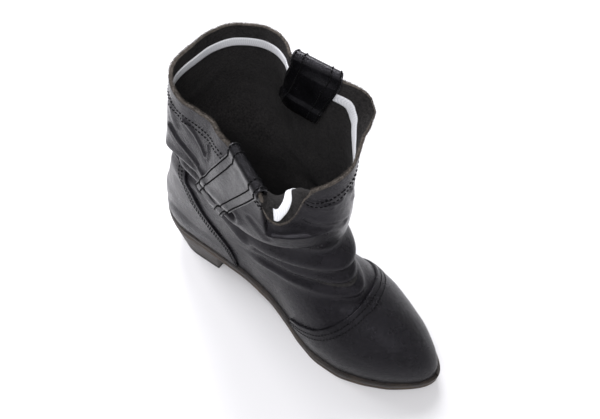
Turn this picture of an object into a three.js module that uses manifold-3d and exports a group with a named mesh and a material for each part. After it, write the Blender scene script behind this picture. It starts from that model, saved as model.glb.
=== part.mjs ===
// A short black western boot for the right foot, pulled on by two straps, its soft shaft slumped into folds.
// Millimetres. The toe points along +X, the inner side of the foot along +Y and up is +Z.
// The origin is the middle of the heel's underside. The boot's own lengths are counted from the heel's back.
import * as THREE from 'three';
import { mergeVertices } from 'three/addons/utils/BufferGeometryUtils.js';
import Module from 'manifold-3d';

const wasm = await Module();
wasm.setup();

// Driving sizes
const LENGTH = 290;           // sole, from heel to toe
const BALL_WIDTH = 100;       // sole, across the ball
const HEEL_HEIGHT = 36;       // floor to the underside of the sole at the back
const TOE_SPRING = 9;         // floor to the underside of the sole at the toe
const VAMP_HEIGHT = 75;       // floor to the throat of the vamp
const SHAFT_HEIGHT = 247;     // floor to the top of the higher pull strap
const ANKLE_WIDTH = 76;       // across the shaft at the ankle
const COLLAR_LENGTH = 148;    // collar, from back to front
const COLLAR_WIDTH = 108;     // collar, from side to side
const LEATHER = 2.2;          // wall of the upper
const OVERLAY = 1.6;          // leather of the vamp and the counter
const OUTSOLE = 5;
const WELT = 3.5;
const WELT_EDGE = 5;          // how far the welt stands out at the toe
const SEAT_EDGE = 2.5;        // how far the sole stands out behind the heel
const INSOLE = 5;
const INSTEP_HOLLOW = 13;     // softness of the bend between instep and shaft
const FOLD_DEPTH = 8;         // the deepest fold of the slumped shaft
const LIP = 34;               // how far the collar's edge curls outwards at the front corner
const LIP_START = 0.3;        // share of the rise to the collar below which nothing curls
const LIP_STEEP = 3.5;
const LIP_ROLL = 0.14;        // how far the curl arches, as a share of its width
const STRAP_WIDTH = 36;
const STRAP_LEATHER = 2;
const STRAP_OUTSIDE = 74;     // length of a strap's outer leaf
const STRAP_INSIDE = 45;      // length of its inner leaf
const STRAP_HEM = 10;         // turned-up end of the inner leaf
const STRAP_STIFF = 12;       // depth to which its leaves keep the roll's straightness
const STRAP_ROLL = 3.4;       // radius of the roll over the collar
const STRAP_LIFT = 3.0;       // height of the roll's middle over the collar's edge
const TAPE_WIDTH = 7;
const TAPE = 0.8;
const TAPE_DROP = 11;         // collar's edge to the tape
const TAPE_PULL = 10;         // how much nearer to the edge it lies where the lip is widest
const TAPE_CLOSE = 5;         // how closely it keeps that to the widest part
const TAPE_START = 315;       // direction of its first end, in degrees round from the toe
const TAPE_END = 291;
const HEEL_CAP = 6;
const LIFT = 5.7;             // one layer of the stacked heel
const HEEL_UNDERCUT = 10;     // how far the heel's back leans in
const HEEL_BREAST = 78;       // heel's back to its front face, at the top
const BREAST_RAKE = 7;        // how far the front face leans back
const GAP = 0.3;              // clearance between neighbouring pieces

// Worked out from them
const STACK = OUTSOLE + GAP + WELT + GAP;
const SPINE = 0.386 * LENGTH;          // the line that the upper's sections are turned about
const HEEL_MIDDLE = 0.11 * LENGTH;
const HEEL_ROUND = 0.155;
const TOE_ROUND = 0.12;
const FOOT_BULGE = 0.07;      // how far the foot's sides stand out over the feather line
const FOOT_ARCH = 2.3;        // how square its sections are
const NECK_LATE = 1.3;        // how late the shaft draws in to its collar: above 1 near the edge,
const NECK_EARLY = 0.4;       // below 1, as under the lip, low down
const SEAT = 0.82;            // share of the heel's height where its shaped seat begins
const HEEL_NARROW = 0.86;     // width of the heel on the floor as a share of that at the top
const TURN = 2 * Math.PI;

// A row for each section of the sole: place along the length, half widths of the inner and outer side as
// shares of the ball width, rise of the underside as a share of the heel's height, toe spring as a share.
const SOLE = table(['along', 'inner', 'outer', 'rise', 'spring'], [
  [0.00, 0.33, 0.33, 1.000, 0.0],
  [0.12, 0.33, 0.33, 0.985, 0.0],
  [0.22, 0.32, 0.325, 0.930, 0.0],
  [0.30, 0.275, 0.315, 0.820, 0.0],
  [0.38, 0.24, 0.30, 0.640, 0.0],
  [0.46, 0.26, 0.31, 0.400, 0.0],
  [0.54, 0.35, 0.36, 0.165, 0.0],
  [0.62, 0.445, 0.43, 0.000, 0.0],
  [0.69, 0.475, 0.47, 0.000, 0.0],
  [0.75, 0.465, 0.465, 0.000, 0.0],
  [0.82, 0.405, 0.415, 0.000, 0.15],
  [0.89, 0.315, 0.33, 0.000, 0.45],
  [0.95, 0.245, 0.26, 0.000, 0.75],
  [1.00, 0.205, 0.22, 0.000, 1.0],
]);

// Top line of the foot part, above the floor, as shares of the vamp's height
const FOOT = table(['along', 'top'], [
  [0.00, 0.83],
  [0.10, 1.10],
  [0.30, 1.45],
  [0.50, 1.45],
  [0.58, 1.25],
  [0.66, 1.07],
  [0.72, 0.95],
  [0.80, 0.80],
  [0.88, 0.68],
  [0.94, 0.61],
  [1.00, 0.56],
]);

// Level sections of the shaft: height as a share of the shaft's, back, widest place and front as shares
// of the length, half widths as shares of the ankle's width, and how square the section is.
const SHAFT = table(['up', 'back', 'widest', 'front', 'inner', 'outer', 'square'], [
  [0.18, 0.012, 0.20, 0.59, 0.37, 0.36, 2.1],
  [0.24, 0.006, 0.21, 0.67, 0.39, 0.38, 2.1],
  [0.30, 0.014, 0.24, 0.71, 0.42, 0.39, 2.1],
  [0.36, 0.034, 0.27, 0.68, 0.44, 0.40, 2.1],
  [0.43, 0.054, 0.30, 0.655, 0.46, 0.41, 2.1],
  [0.50, 0.072, 0.34, 0.640, 0.48, 0.41, 2.1],
  [0.56, 0.088, 0.38, 0.636, 0.50, 0.40, 2.1],
  [0.61, 0.098, 0.41, 0.636, 0.52, 0.41, 2.0],
  [0.67, 0.103, 0.43, 0.640, 0.54, 0.50, 2.0],
]);

// The collar's edge: turn in degrees from the toe over the inner side, reach from the spine as a share of
// an oval of the collar's length and width, height as a share of the shaft's, and how much of the lip's
// width is turned out.
const COLLAR = table(['turn', 'reach', 'up', 'lip'], [
  [2, 0.930, 0.836, 0.02],
  [9, 0.969, 0.848, 0.05],
  [17, 0.995, 0.865, 0.12],
  [24, 1.033, 0.879, 0.22],
  [29, 1.090, 0.885, 0.30],
  [34, 1.145, 0.892, 0.36],
  [39, 1.196, 0.903, 0.40],
  [44, 1.200, 0.920, 0.38],
  [47, 1.155, 0.938, 0.28],
  [50, 1.060, 0.953, 0.16],
  [54, 0.930, 0.966, 0.05],
  [60, 0.855, 0.974, 0.00],
  [68, 0.811, 0.975, 0.00],
  [80, 0.785, 0.975, 0.00],
  [94, 0.779, 0.973, 0.00],
  [105, 0.942, 0.970, 0.00],
  [115, 1.085, 0.964, 0.00],
  [128, 1.201, 0.951, 0.00],
  [141, 1.216, 0.943, 0.00],
  [155, 1.138, 0.935, 0.00],
  [169, 1.034, 0.927, 0.00],
  [183, 0.989, 0.923, 0.00],
  [195, 0.908, 0.923, 0.00],
  [211, 0.767, 0.923, 0.00],
  [221, 0.640, 0.923, 0.00],
  [239, 0.560, 0.923, 0.00],
  [260, 0.623, 0.929, 0.00],
  [281, 0.673, 0.920, 0.00],
  [291, 0.765, 0.910, 0.00],
  [301, 0.876, 0.899, 0.00],
  [306, 0.960, 0.890, 0.03],
  [309, 1.050, 0.880, 0.12],
  [311, 1.160, 0.866, 0.50],
  [313, 1.220, 0.853, 1.00],
  [316, 1.230, 0.842, 1.00],
  [320, 1.192, 0.834, 0.94],
  [325, 1.100, 0.829, 0.85],
  [330, 0.985, 0.827, 0.70],
  [335, 0.900, 0.826, 0.54],
  [341, 0.862, 0.826, 0.38],
  [347, 0.866, 0.826, 0.22],
  [354, 0.890, 0.828, 0.08],
]);

// Outline of the roll that the slumped shaft hangs in, just above the ankle: turn in degrees, and reach as
// a share of the same oval.
const SLUMP = table(['turn', 'reach'], [
  [0, 0.985],
  [15, 0.985],
  [35, 0.940],
  [50, 0.870],
  [88, 0.775],
  [104, 0.880],
  [120, 1.080],
  [135, 1.210],
  [150, 1.200],
  [166, 1.120],
  [180, 1.095],
  [190, 1.100],
  [199, 1.060],
  [206, 0.960],
  [214, 0.850],
  [228, 0.765],
  [245, 0.765],
  [262, 0.800],
  [282, 0.880],
  [297, 0.940],
  [315, 0.970],
  [340, 0.985],
]);

// Folds and creases: turn of the middle, height there as a share of the shaft's, half widths round and
// up, push outwards as a share of the fold depth, and how far it climbs in a quarter turn.
const FOLDS = table(['turn', 'up', 'round', 'tall', 'push', 'climb'], [
  [215, 0.672, 75, 0.030, 0.15, 0.00],
  [228, 0.600, 72, 0.026, -0.90, 0.00],
  [120, 0.600, 55, 0.040, -0.35, 0.04],
  [100, 0.540, 60, 0.035, 0.45, 0.05],
  [252, 0.480, 34, 0.034, 0.45, -0.24],
  [345, 0.505, 70, 0.026, -0.50, 0.03],
  [10, 0.450, 80, 0.030, 0.85, 0.03],
  [350, 0.404, 75, 0.018, -0.40, 0.02],
  [15, 0.372, 60, 0.018, 0.45, 0.02],
  [345, 0.342, 65, 0.015, -0.35, 0.01],
  [355, 0.317, 62, 0.016, 0.45, 0.00],
]);

// Rings that carry the upper's leather, from the sole to the collar: height at the back, place of the
// front along the length, height there, how much of the sole's curve is kept, and rise to the collar.
const RINGS = table(['back', 'reach', 'front', 'keep', 'rise'], [
  [0.183, 1.000, 0.074, 1.00, 0],
  [0.210, 0.997, 0.098, 0.97, 0],
  [0.243, 0.986, 0.135, 0.88, 0],
  [0.275, 0.952, 0.175, 0.75, 0],
  [0.307, 0.890, 0.212, 0.60, 0],
  [0.336, 0.815, 0.245, 0.45, 0],
  [0.362, 0.750, 0.276, 0.30, 0],
  [0.384, 0.715, 0.303, 0.20, 0],
  [0.404, 0.700, 0.325, 0.12, 0],
  [0.424, 0.680, 0.350, 0.06, 0],
  [0.444, 0.665, 0.382, 0.03, 0],
  [0.466, 0.655, 0.418, 0.00, 0],
  [0.492, 0.650, 0.444, 0.00, 0],
  [0.516, 0.645, 0.470, 0.00, 0],
  [0.542, 0.630, 0.500, 0.00, 0],
  [0.568, 0.620, 0.532, 0.00, 0],
  [0.594, 0.610, 0.566, 0.00, 0],
  [0.620, 0.610, 0.600, 0.00, 0],
  [0.646, 0.610, 0.630, 0.00, 0],
  [0.672, 0.615, 0.660, 0.00, 0],
  [0.672, 0.615, 0.660, 0.00, 0.14],
  [0.672, 0.615, 0.660, 0.00, 0.28],
  [0.672, 0.615, 0.660, 0.00, 0.40],
  [0.672, 0.615, 0.660, 0.00, 0.52],
  [0.672, 0.615, 0.660, 0.00, 0.64],
  [0.672, 0.615, 0.660, 0.00, 0.76],
  [0.672, 0.615, 0.660, 0.00, 0.88],
  [0.672, 0.615, 0.660, 0.00, 1.00],
]);
const COLUMNS = 48;
const LAST_RING = RINGS.back.length - 1;
const FIRST_RISE = RINGS.rise.filter((rise) => rise === 0).length - 1;

// Rear edge of the vamp, from the throat to the sole, and front and top edge of the counter, from the
// sole upwards: place as a share of the length, height as a share of the shaft's.
const VAMP_EDGE = [
  [0.735, 0.42], [0.735, 0.29], [0.715, 0.25], [0.670, 0.20], [0.610, 0.15], [0.560, 0.10], [0.540, 0],
];
const COUNTER_EDGE = [
  [0.345, 0], [0.343, 0.17], [0.322, 0.26], [0.282, 0.345], [0.224, 0.450], [0.168, 0.535], [0.115, 0.573],
  [0.050, 0.590], [-0.1, 0.590],
];

// A strap: turn of its middle on the collar, and how far it leans back for each millimetre down
const STRAPS = [
  { name: 'pull_strap_inner_side', turn: 68, leanOutside: 0.25, leanInside: 0.29 },
  { name: 'pull_strap_outer_side', turn: 299, leanOutside: -0.60, leanInside: -0.45 },
];

// Named columns of a table
function table(names, rows) {
  return Object.fromEntries(names.map((name, i) => [name, rows.map((row) => row[i])]));
}

function clamp(value, low, high) {
  return Math.min(Math.max(value, low), high);
}

function mix(a, b, share) {
  return a + (b - a) * share;
}

function smoothstep(value, low, high) {
  const share = clamp((value - low) / (high - low), 0, 1);
  return share * share * (3 - 2 * share);
}

// A smooth curve through a table's rows that never overshoots them. A turn joins its ends round a circle.
function curve(xs, ys, turn = 0) {
  const n = xs.length;
  const x = (i) => (turn ? xs[(i + n) % n] + turn * Math.floor(i / n) : xs[i]);
  const y = (i) => ys[(i + n) % n];
  const step = (i) => (y(i + 1) - y(i)) / (x(i + 1) - x(i));
  const slopes = xs.map((_, i) => {
    if (!turn && i === 0) return step(0);
    if (!turn && i === n - 1) return step(n - 2);
    const before = step(i - 1);
    const after = step(i);
    return before * after <= 0 ? 0 : 2 * before * after / (before + after);
  });
  return (at) => {
    const place = turn ? at - turn * Math.floor((at - xs[0]) / turn) : clamp(at, xs[0], xs[n - 1]);
    let i = 0;
    while (i < (turn ? n : n - 1) - 1 && x(i + 1) <= place) i += 1;
    const width = x(i + 1) - x(i);
    const s = (place - x(i)) / width;
    const start = (1 + 2 * s) * (1 - s) * (1 - s) * y(i) + s * (1 - s) * (1 - s) * width * slopes[i];
    return start + s * s * (3 - 2 * s) * y(i + 1) + s * s * (s - 1) * width * slopes[(i + 1) % n];
  };
}

function curves(rows, along, turn = 0) {
  const names = Object.keys(rows).filter((name) => name !== along);
  return Object.fromEntries(names.map((name) => [name, curve(rows[along], rows[name], turn)]));
}

const sole = curves(SOLE, 'along');
const foot = curves(FOOT, 'along');
const shaft = curves(SHAFT, 'up');
const collar = curves(COLLAR, 'turn', 360);
const slump = curves(SLUMP, 'turn', 360);
const ring = curves({ ...RINGS, row: RINGS.back.map((_, i) => i) }, 'row');

// Round ends of the sole's outline, from 0 at each tip to 1
function endRound(along) {
  const heel = clamp(1 - along / HEEL_ROUND, 0, 1);
  const toe = clamp((along - 1 + TOE_ROUND) / TOE_ROUND, 0, 1);
  return Math.sqrt(1 - heel * heel) * Math.sqrt(1 - toe * toe);
}

// Half width of the sole at a place along the length, on the inner side (+1) or the outer (-1)
function soleHalf(x, side) {
  const along = x / LENGTH;
  if (along <= 0 || along >= 1) return 0;
  return BALL_WIDTH * (side > 0 ? sole.inner(along) : sole.outer(along)) * endRound(along);
}

// Half width of the foot at the feather line, inside the welt
function footHalf(x, side) {
  const inside = (x - SEAT_EDGE) / (LENGTH - SEAT_EDGE - WELT_EDGE);
  return soleHalf(inside * LENGTH, side) * (1 - 2 * WELT_EDGE / BALL_WIDTH);
}

function underside(x) {
  const along = x / LENGTH;
  return HEEL_HEIGHT * sole.rise(along) + TOE_SPRING * sole.spring(along);
}

// Height of the feather line, where the upper meets the welt
function feather(x) {
  return underside(x) + STACK;
}

// Whether a point lies inside the foot: an arch over the feather line, fuller low down
function inFoot(x, y, z) {
  const base = feather(x);
  const along = (x - SEAT_EDGE) / (LENGTH - SEAT_EDGE - WELT_EDGE);
  if (along <= 0 || along >= 1) return false;
  const toe = clamp((along - 1 + TOE_ROUND) / TOE_ROUND, 0, 1);
  const top = base + (VAMP_HEIGHT * foot.top(along) - base) * Math.sqrt(1 - toe * toe);
  const up = clamp((z - base) / (top - base), 0, 1);
  const bulge = 1 + FOOT_BULGE * Math.sin(Math.PI * up);
  return z < top && Math.abs(y) < footHalf(x, y) * bulge * Math.sqrt(1 - up ** FOOT_ARCH);
}

// Whether a point lies inside the shaft: an oval that is longer to the front than to the back
function inShaft(x, y, z) {
  const up = z / SHAFT_HEIGHT;
  const widest = LENGTH * shaft.widest(up);
  const reach = x < widest ? widest - LENGTH * shaft.back(up) : LENGTH * shaft.front(up) - widest;
  const half = ANKLE_WIDTH * (y > 0 ? shaft.inner(up) : shaft.outer(up));
  const square = shaft.square(up);
  return Math.abs((x - widest) / reach) ** square + Math.abs(y / half) ** square < 1;
}

// Distance from the spine to the form's edge in one direction, on a sheet whose height follows x
function edgeDistance(inside, direction, height) {
  const at = (r) => {
    const x = SPINE + r * direction[0];
    return inside(x, r * direction[1], height(x));
  };
  if (!at(0.01)) return 0;
  let low = 0.01;
  let high = LENGTH;
  for (let i = 0; i < 26; i += 1) {
    const middle = (low + high) / 2;
    if (at(middle)) low = middle;
    else high = middle;
  }
  return low;
}

// The larger of two lengths, with a soft hollow where they are alike
function softMax(a, b, softness) {
  const near = Math.max(0, 1 - Math.abs(a - b) / softness);
  return Math.max(a, b) + softness * near * near / 4;
}

function foldPush(turn, up) {
  let push = 0;
  for (let i = 0; i < FOLDS.turn.length; i += 1) {
    const away = ((turn - FOLDS.turn[i] + 540) % 360) - 180;
    const middle = FOLDS.up[i] + FOLDS.climb[i] * away / 90;
    const round = away / FOLDS.round[i];
    const tall = (up - middle) / FOLDS.tall[i];
    push += FOLDS.push[i] * Math.exp(-(round ** 4) - tall * tall);
  }
  return FOLD_DEPTH * push;
}

// A point of the upper's outer face: u goes once round from the toe over the inner side, and row counts
// rings from the sole up.
function outerPoint(u, row) {
  const share = row / LAST_RING;
  const long = mix(LENGTH, COLLAR_LENGTH, smoothstep(share, 0, 0.7)) / 2;
  const shift = (LENGTH / 2 - SPINE) * (1 - smoothstep(share, 0, 0.5));
  const wide = mix(BALL_WIDTH, COLLAR_WIDTH, smoothstep(share, 0, 0.7)) / 2;
  const ahead = (long + shift * Math.cos(TURN * u)) * Math.cos(TURN * u);
  const angle = Math.atan2(wide * Math.sin(TURN * u), ahead);
  const direction = [Math.cos(angle), Math.sin(angle)];
  const turn = (angle * 360 / TURN + 360) % 360;

  const back = SHAFT_HEIGHT * ring.back(row);
  const slope = (SHAFT_HEIGHT * ring.front(row) - back) / (LENGTH * ring.reach(row));
  const level = (x) => back + slope * x;
  const soleSlope = (feather(LENGTH) - feather(0)) / LENGTH;
  const keep = ring.keep(row);
  const lift = row < 1 ? (1 - row) : 0;
  const sheet = (x) => {
    const curved = level(x) + keep * (feather(x) - feather(0) - soleSlope * x);
    return mix(Math.max(curved, feather(x)), feather(x), lift);
  };
  const rise = ring.rise(row);
  const top = SHAFT_HEIGHT * collar.up(turn);
  const lip = collar.lip(turn);
  const turned = Math.min(2 * lip, 1);
  const raised = mix(rise, 1 - (1 - rise) ** LIP_STEEP, turned);
  const curl = clamp((rise - LIP_START) / (1 - LIP_START), 0, 1);
  const roll = LIP * lip * LIP_ROLL * Math.sin(Math.PI * curl);
  const height = (x) => mix(sheet(x), top, raised) + roll;

  const footReach = edgeDistance(inFoot, direction, height);
  const shaftReach = edgeDistance(inShaft, direction, height);
  const joined = softMax(footReach, shaftReach, INSTEP_HOLLOW * smoothstep(direction[0], -0.5, 0.6) + 1);
  let reach = mix(footReach, joined, smoothstep(row, 0, 2.5));
  const oval = 1 / Math.hypot(direction[0] * 2 / COLLAR_LENGTH, direction[1] * 2 / COLLAR_WIDTH);
  reach = mix(reach, slump.reach(turn) * oval, smoothstep(row, FIRST_RISE - 4.5, FIRST_RISE - 1.5));
  const neck = collar.reach(turn) * oval - LIP * lip;
  reach = mix(reach, neck, rise ** mix(NECK_LATE, NECK_EARLY, turned)) + LIP * lip * curl;
  const z = height(SPINE + reach * direction[0]);
  const quiet = smoothstep(row, 3, 6) * (1 - smoothstep(rise, 0.4, 1));
  reach += quiet * foldPush(turn, z / SHAFT_HEIGHT);
  return new THREE.Vector3(SPINE + reach * direction[0], reach * direction[1], z);
}

// Outward normal of the leather between four neighbouring points
function normalAcross(before, after, below, above) {
  return after.clone().sub(before).cross(above.clone().sub(below)).normalize();
}

// The upper's grid of points, with the normal of the faces round each
const grid = RINGS.back.map((_, row) => Array.from({ length: COLUMNS }, (_, i) => outerPoint(i / COLUMNS, row)));
const places = grid.map((points, row) => points.map((point, i) => {
  const below = grid[Math.max(row - 1, 0)][i];
  const above = grid[Math.min(row + 1, LAST_RING)][i];
  const normal = normalAcross(points[(i + COLUMNS - 1) % COLUMNS], points[(i + 1) % COLUMNS], below, above);
  if (row === 0) normal.setZ(0).normalize();
  return { point, normal };
}));

// Place on the upper's outer face anywhere between the grid's points
function outerPlace(u, row) {
  const column = (u - Math.floor(u)) * COLUMNS;
  const [i, j] = [Math.floor(column), Math.min(Math.floor(row), LAST_RING - 1)];
  const between = (name) => {
    const across = (level) => places[level][i][name].clone()
      .lerp(places[level][(i + 1) % COLUMNS][name], column - i);
    return across(j).lerp(across(j + 1), row - j);
  };
  return { point: between('point'), normal: between('normal').normalize() };
}

// The upper's rings, moved outwards by a distance
function offsetRings(distance) {
  return places.map((level, row) => level.map(({ point, normal }) => {
    const moved = point.clone().addScaledVector(normal, distance);
    if (row === 0) moved.z = feather(moved.x);
    return moved;
  }));
}

// Triangles to a geometry, turned so that their faces point out
function geometryOf(points, triangles) {
  let volume = 0;
  const cross = new THREE.Vector3();
  for (const [a, b, c] of triangles) {
    volume += points[a].dot(cross.crossVectors(points[b], points[c]));
  }
  const faces = volume < 0 ? triangles.map(([a, b, c]) => [a, c, b]) : triangles;
  const geometry = new THREE.BufferGeometry();
  geometry.setAttribute('position', new THREE.Float32BufferAttribute(points.flatMap((p) => p.toArray()), 3));
  geometry.setIndex(faces.flat());
  return geometry;
}

// Loops of points joined one to the next. They end in flat fans, or the last joins the first again.
function loopSolid(loops, closed = false) {
  const count = loops[0].length;
  const points = loops.flat();
  const triangles = [];
  const pairs = closed ? loops.length : loops.length - 1;
  for (let i = 0; i < pairs; i += 1) {
    const here = i * count;
    const next = ((i + 1) % loops.length) * count;
    for (let j = 0; j < count; j += 1) {
      const k = (j + 1) % count;
      triangles.push([here + j, here + k, next + k], [here + j, next + k, next + j]);
    }
  }
  if (!closed) {
    [0, loops.length - 1].forEach((end) => {
      const middle = points.length;
      const loop = loops[end];
      points.push(loop.reduce((sum, p) => sum.add(p), new THREE.Vector3()).divideScalar(count));
      for (let j = 0; j < count; j += 1) {
        const edge = [end * count + (j + 1) % count, end * count + j];
        triangles.push(end ? [edge[1], edge[0], middle] : [edge[0], edge[1], middle]);
      }
    });
  }
  return geometryOf(points, triangles);
}

function solidOf(geometry) {
  const bare = geometry.clone();
  bare.deleteAttribute('normal');
  bare.deleteAttribute('uv');
  const merged = mergeVertices(bare, 1e-5);
  const mesh = new wasm.Mesh({
    numProp: 3,
    vertProperties: new Float32Array(merged.attributes.position.array),
    triVerts: new Uint32Array(merged.index.array),
  });
  return new wasm.Manifold(mesh);
}

// A cut solid's largest body as a geometry, without the splinters that a cut can leave
function geometryFrom(solid) {
  const bodies = solid.decompose().sort((a, b) => b.volume() - a.volume());
  const mesh = bodies[0].getMesh();
  const geometry = new THREE.BufferGeometry();
  geometry.setAttribute('position', new THREE.Float32BufferAttribute(mesh.vertProperties, 3));
  geometry.setIndex(Array.from(mesh.triVerts));
  return geometry;
}

// The wall between two offsets of the upper's outer face
function wallBetween(outside, inside) {
  return loopSolid([...offsetRings(outside), ...offsetRings(inside).reverse()], true);
}

// The upper's wall. Low in the foot its inner face keeps only every other ring.
function upper() {
  const inside = offsetRings(-LEATHER).filter((_, row) => row < 3 || row > 9 || row % 2 === 0);
  return loopSolid([...offsetRings(0), ...inside.reverse()], true);
}

// A side outline of the boot carried right across it
function acrossBoot(outline) {
  const shape = new THREE.Shape(outline.map(([x, z]) => new THREE.Vector2(x, z)));
  const geometry = new THREE.ExtrudeGeometry(shape, { depth: 2 * BALL_WIDTH, bevelEnabled: false });
  geometry.rotateX(Math.PI / 2);
  geometry.translate(0, BALL_WIDTH, 0);
  return geometry;
}

function softEdge(edge) {
  const points = edge.map(([along, up]) => new THREE.Vector2(along * LENGTH, up * SHAFT_HEIGHT));
  return new THREE.SplineCurve(points).getPoints(16).map((p) => [p.x, p.y]);
}

// The leather of an overlay inside an outline, clear of the upper that it lies on
function overlay(outline) {
  const leather = solidOf(wallBetween(GAP + OVERLAY, GAP)).subtract(solidOf(wallBetween(GAP / 2, -LEATHER)));
  return geometryFrom(leather.intersect(solidOf(acrossBoot(outline))));
}

function vamp() {
  const edge = softEdge(VAMP_EDGE);
  const ahead = 1.1 * LENGTH;
  return overlay([...edge, [ahead, 0], [ahead, edge[0][1]]]);
}

function counter() {
  return overlay([...softEdge(COUNTER_EDGE), [-0.1 * LENGTH, 0]]);
}

// A plate across the sole: its half widths follow the place along the length, its faces two heights
function plate(start, end, half, bottom, top) {
  const steps = 44;
  const sections = Array.from({ length: steps }, (_, i) => {
    const x = mix(start, end, (1 - Math.cos(Math.PI * (i + 0.5) / steps)) / 2);
    const [left, right] = [half(x, 1), -half(x, -1)];
    return [
      new THREE.Vector3(x, left, top(x)),
      new THREE.Vector3(x, right, top(x)),
      new THREE.Vector3(x, right, bottom(x)),
      new THREE.Vector3(x, left, bottom(x)),
    ];
  });
  return loopSolid(sections);
}

function outsole() {
  return plate(0, LENGTH, soleHalf, underside, (x) => underside(x) + OUTSOLE);
}

// An upright block inside the upper's lowest ring, moved in by a distance
function insideUpper(inset) {
  const edge = offsetRings(-inset)[0];
  return solidOf(loopSolid([-LENGTH, LENGTH].map((z) => edge.map((p) => new THREE.Vector3(p.x, p.y, z)))));
}

function welt() {
  const top = (x) => feather(x) - GAP;
  const full = solidOf(plate(0, LENGTH, soleHalf, (x) => top(x) - WELT, top));
  return geometryFrom(full.subtract(insideUpper(LEATHER)));
}

function insole() {
  const bottom = (x) => underside(x) + OUTSOLE + GAP;
  const full = solidOf(plate(0, LENGTH, soleHalf, bottom, (x) => bottom(x) + INSOLE));
  return geometryFrom(full.intersect(insideUpper(LEATHER + GAP)));
}

// Outline of the heel at a height: it narrows and leans in towards the floor
function heelLoop(height, z) {
  const share = height / HEEL_HEIGHT;
  const front = HEEL_BREAST - BREAST_RAKE * (1 - share);
  const back = HEEL_UNDERCUT * (1 - share);
  const narrow = mix(HEEL_NARROW, 1, share);
  const steps = 16;
  const side = (sign) => Array.from({ length: steps }, (_, i) => {
    const along = 1 - Math.cos(Math.PI / 2 * (i + 0.5) / (steps - 0.5));
    const x = mix(back, front, along);
    const y = sign * narrow * soleHalf(mix(0, HEEL_BREAST, along), sign);
    return new THREE.Vector3(x, y, z(x));
  });
  return [side(1), side(-1)];
}

function heelLayer(low, high, top = () => high) {
  const [lowLeft, lowRight] = heelLoop(low, () => low);
  const [highLeft, highRight] = heelLoop(high, top);
  return loopSolid(highLeft.map((p, i) => [p, highRight[i], lowRight[i], lowLeft[i]]));
}

// Row that lies a distance down the leather from the collar's edge, in one column
function rowBelow(u, down) {
  let row = LAST_RING;
  let left = down;
  while (row > 1) {
    const step = outerPlace(u, row).point.distanceTo(outerPlace(u, row - 1).point);
    if (left < step) return row - left / step;
    left -= step;
    row -= 1;
  }
  return row;
}

// Direction in which a column meets the collar's edge, in degrees round the spine
function edgeTurn(u) {
  const { x, y } = outerPlace(u, LAST_RING).point;
  return (Math.atan2(y, x - SPINE) * 360 / TURN + 360) % 360;
}

// Column that leaves the spine in a direction at the collar
function columnAt(turn) {
  const angle = turn * TURN / 360;
  return (Math.atan2(Math.sin(angle) / COLLAR_WIDTH, Math.cos(angle) / COLLAR_LENGTH) / TURN + 1) % 1;
}

// Place on the shaft at a distance down from the collar's edge, and round it from a turn
function shaftPlace(turn, round, down) {
  let u = columnAt(turn);
  const steps = 16;
  const small = 0.001;
  for (let i = 0; i < steps; i += 1) {
    const row = rowBelow(u, down);
    const speed = outerPlace(u + small, row).point.distanceTo(outerPlace(u, row).point) / small;
    u += round / steps / speed;
  }
  return outerPlace(u, rowBelow(u, down));
}

// The tape: a strip under the wall at a depth below the collar's edge. Its ends are at the outer strap, one
// under it and one ahead of it.
function collarTape() {
  const near = LEATHER + GAP;
  const first = columnAt(TAPE_START) - 1;
  const steps = Math.round(1.6 * COLUMNS);
  const sections = Array.from({ length: steps + 1 }, (_, i) => {
    const u = mix(first, columnAt(TAPE_END), i / steps);
    const drop = TAPE_DROP - TAPE_PULL * collar.lip(edgeTurn(u)) ** TAPE_CLOSE;
    return [[drop, near], [drop, near + TAPE], [drop + TAPE_WIDTH, near + TAPE], [drop + TAPE_WIDTH, near]]
      .map(([down, inwards]) => {
        const { point, normal } = outerPlace(u, rowBelow(u, down));
        return point.addScaledVector(normal, -inwards);
      });
  });
  return geometryFrom(solidOf(loopSolid(sections)).subtract(solidOf(wallBetween(0, GAP / 2 - near))));
}

// A strap's side profile: how far down the wall and out from it each of its two faces runs
function strapProfile() {
  const inside = LEATHER + GAP + TAPE + GAP;
  const middle = (GAP - inside) / 2;
  const faces = { near: [], far: [] };
  const hem = STRAP_LEATHER + GAP;
  const add = (leg, down, near, far) => {
    faces.near.push({ leg, down, out: near });
    faces.far.push({ leg, down, out: far });
  };
  const bite = 0.4;
  const [outsideSteps, rollSteps] = [6, 6];
  for (let i = 0; i <= outsideSteps; i += 1) {
    add('outside', mix(STRAP_OUTSIDE, 4, i / outsideSteps), GAP - bite, GAP + STRAP_LEATHER);
  }
  for (let i = 0; i <= rollSteps; i += 1) {
    const angle = Math.PI * i / rollSteps;
    const small = STRAP_ROLL - STRAP_LEATHER / 2;
    const big = STRAP_ROLL + STRAP_LEATHER / 2;
    faces.near.push({ leg: 'roll', down: -STRAP_LIFT - small * Math.sin(angle), out: middle + small * Math.cos(angle) });
    faces.far.push({ leg: 'roll', down: -STRAP_LIFT - big * Math.sin(angle), out: middle + big * Math.cos(angle) });
  }
  const hemTop = STRAP_INSIDE - STRAP_HEM;
  [4, 12, 23, hemTop - 0.5, hemTop, STRAP_INSIDE].forEach((down) => {
    const thick = down < hemTop ? STRAP_LEATHER : STRAP_LEATHER + hem;
    add('inside', down, bite - inside, -inside - thick);
  });
  return faces;
}

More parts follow.
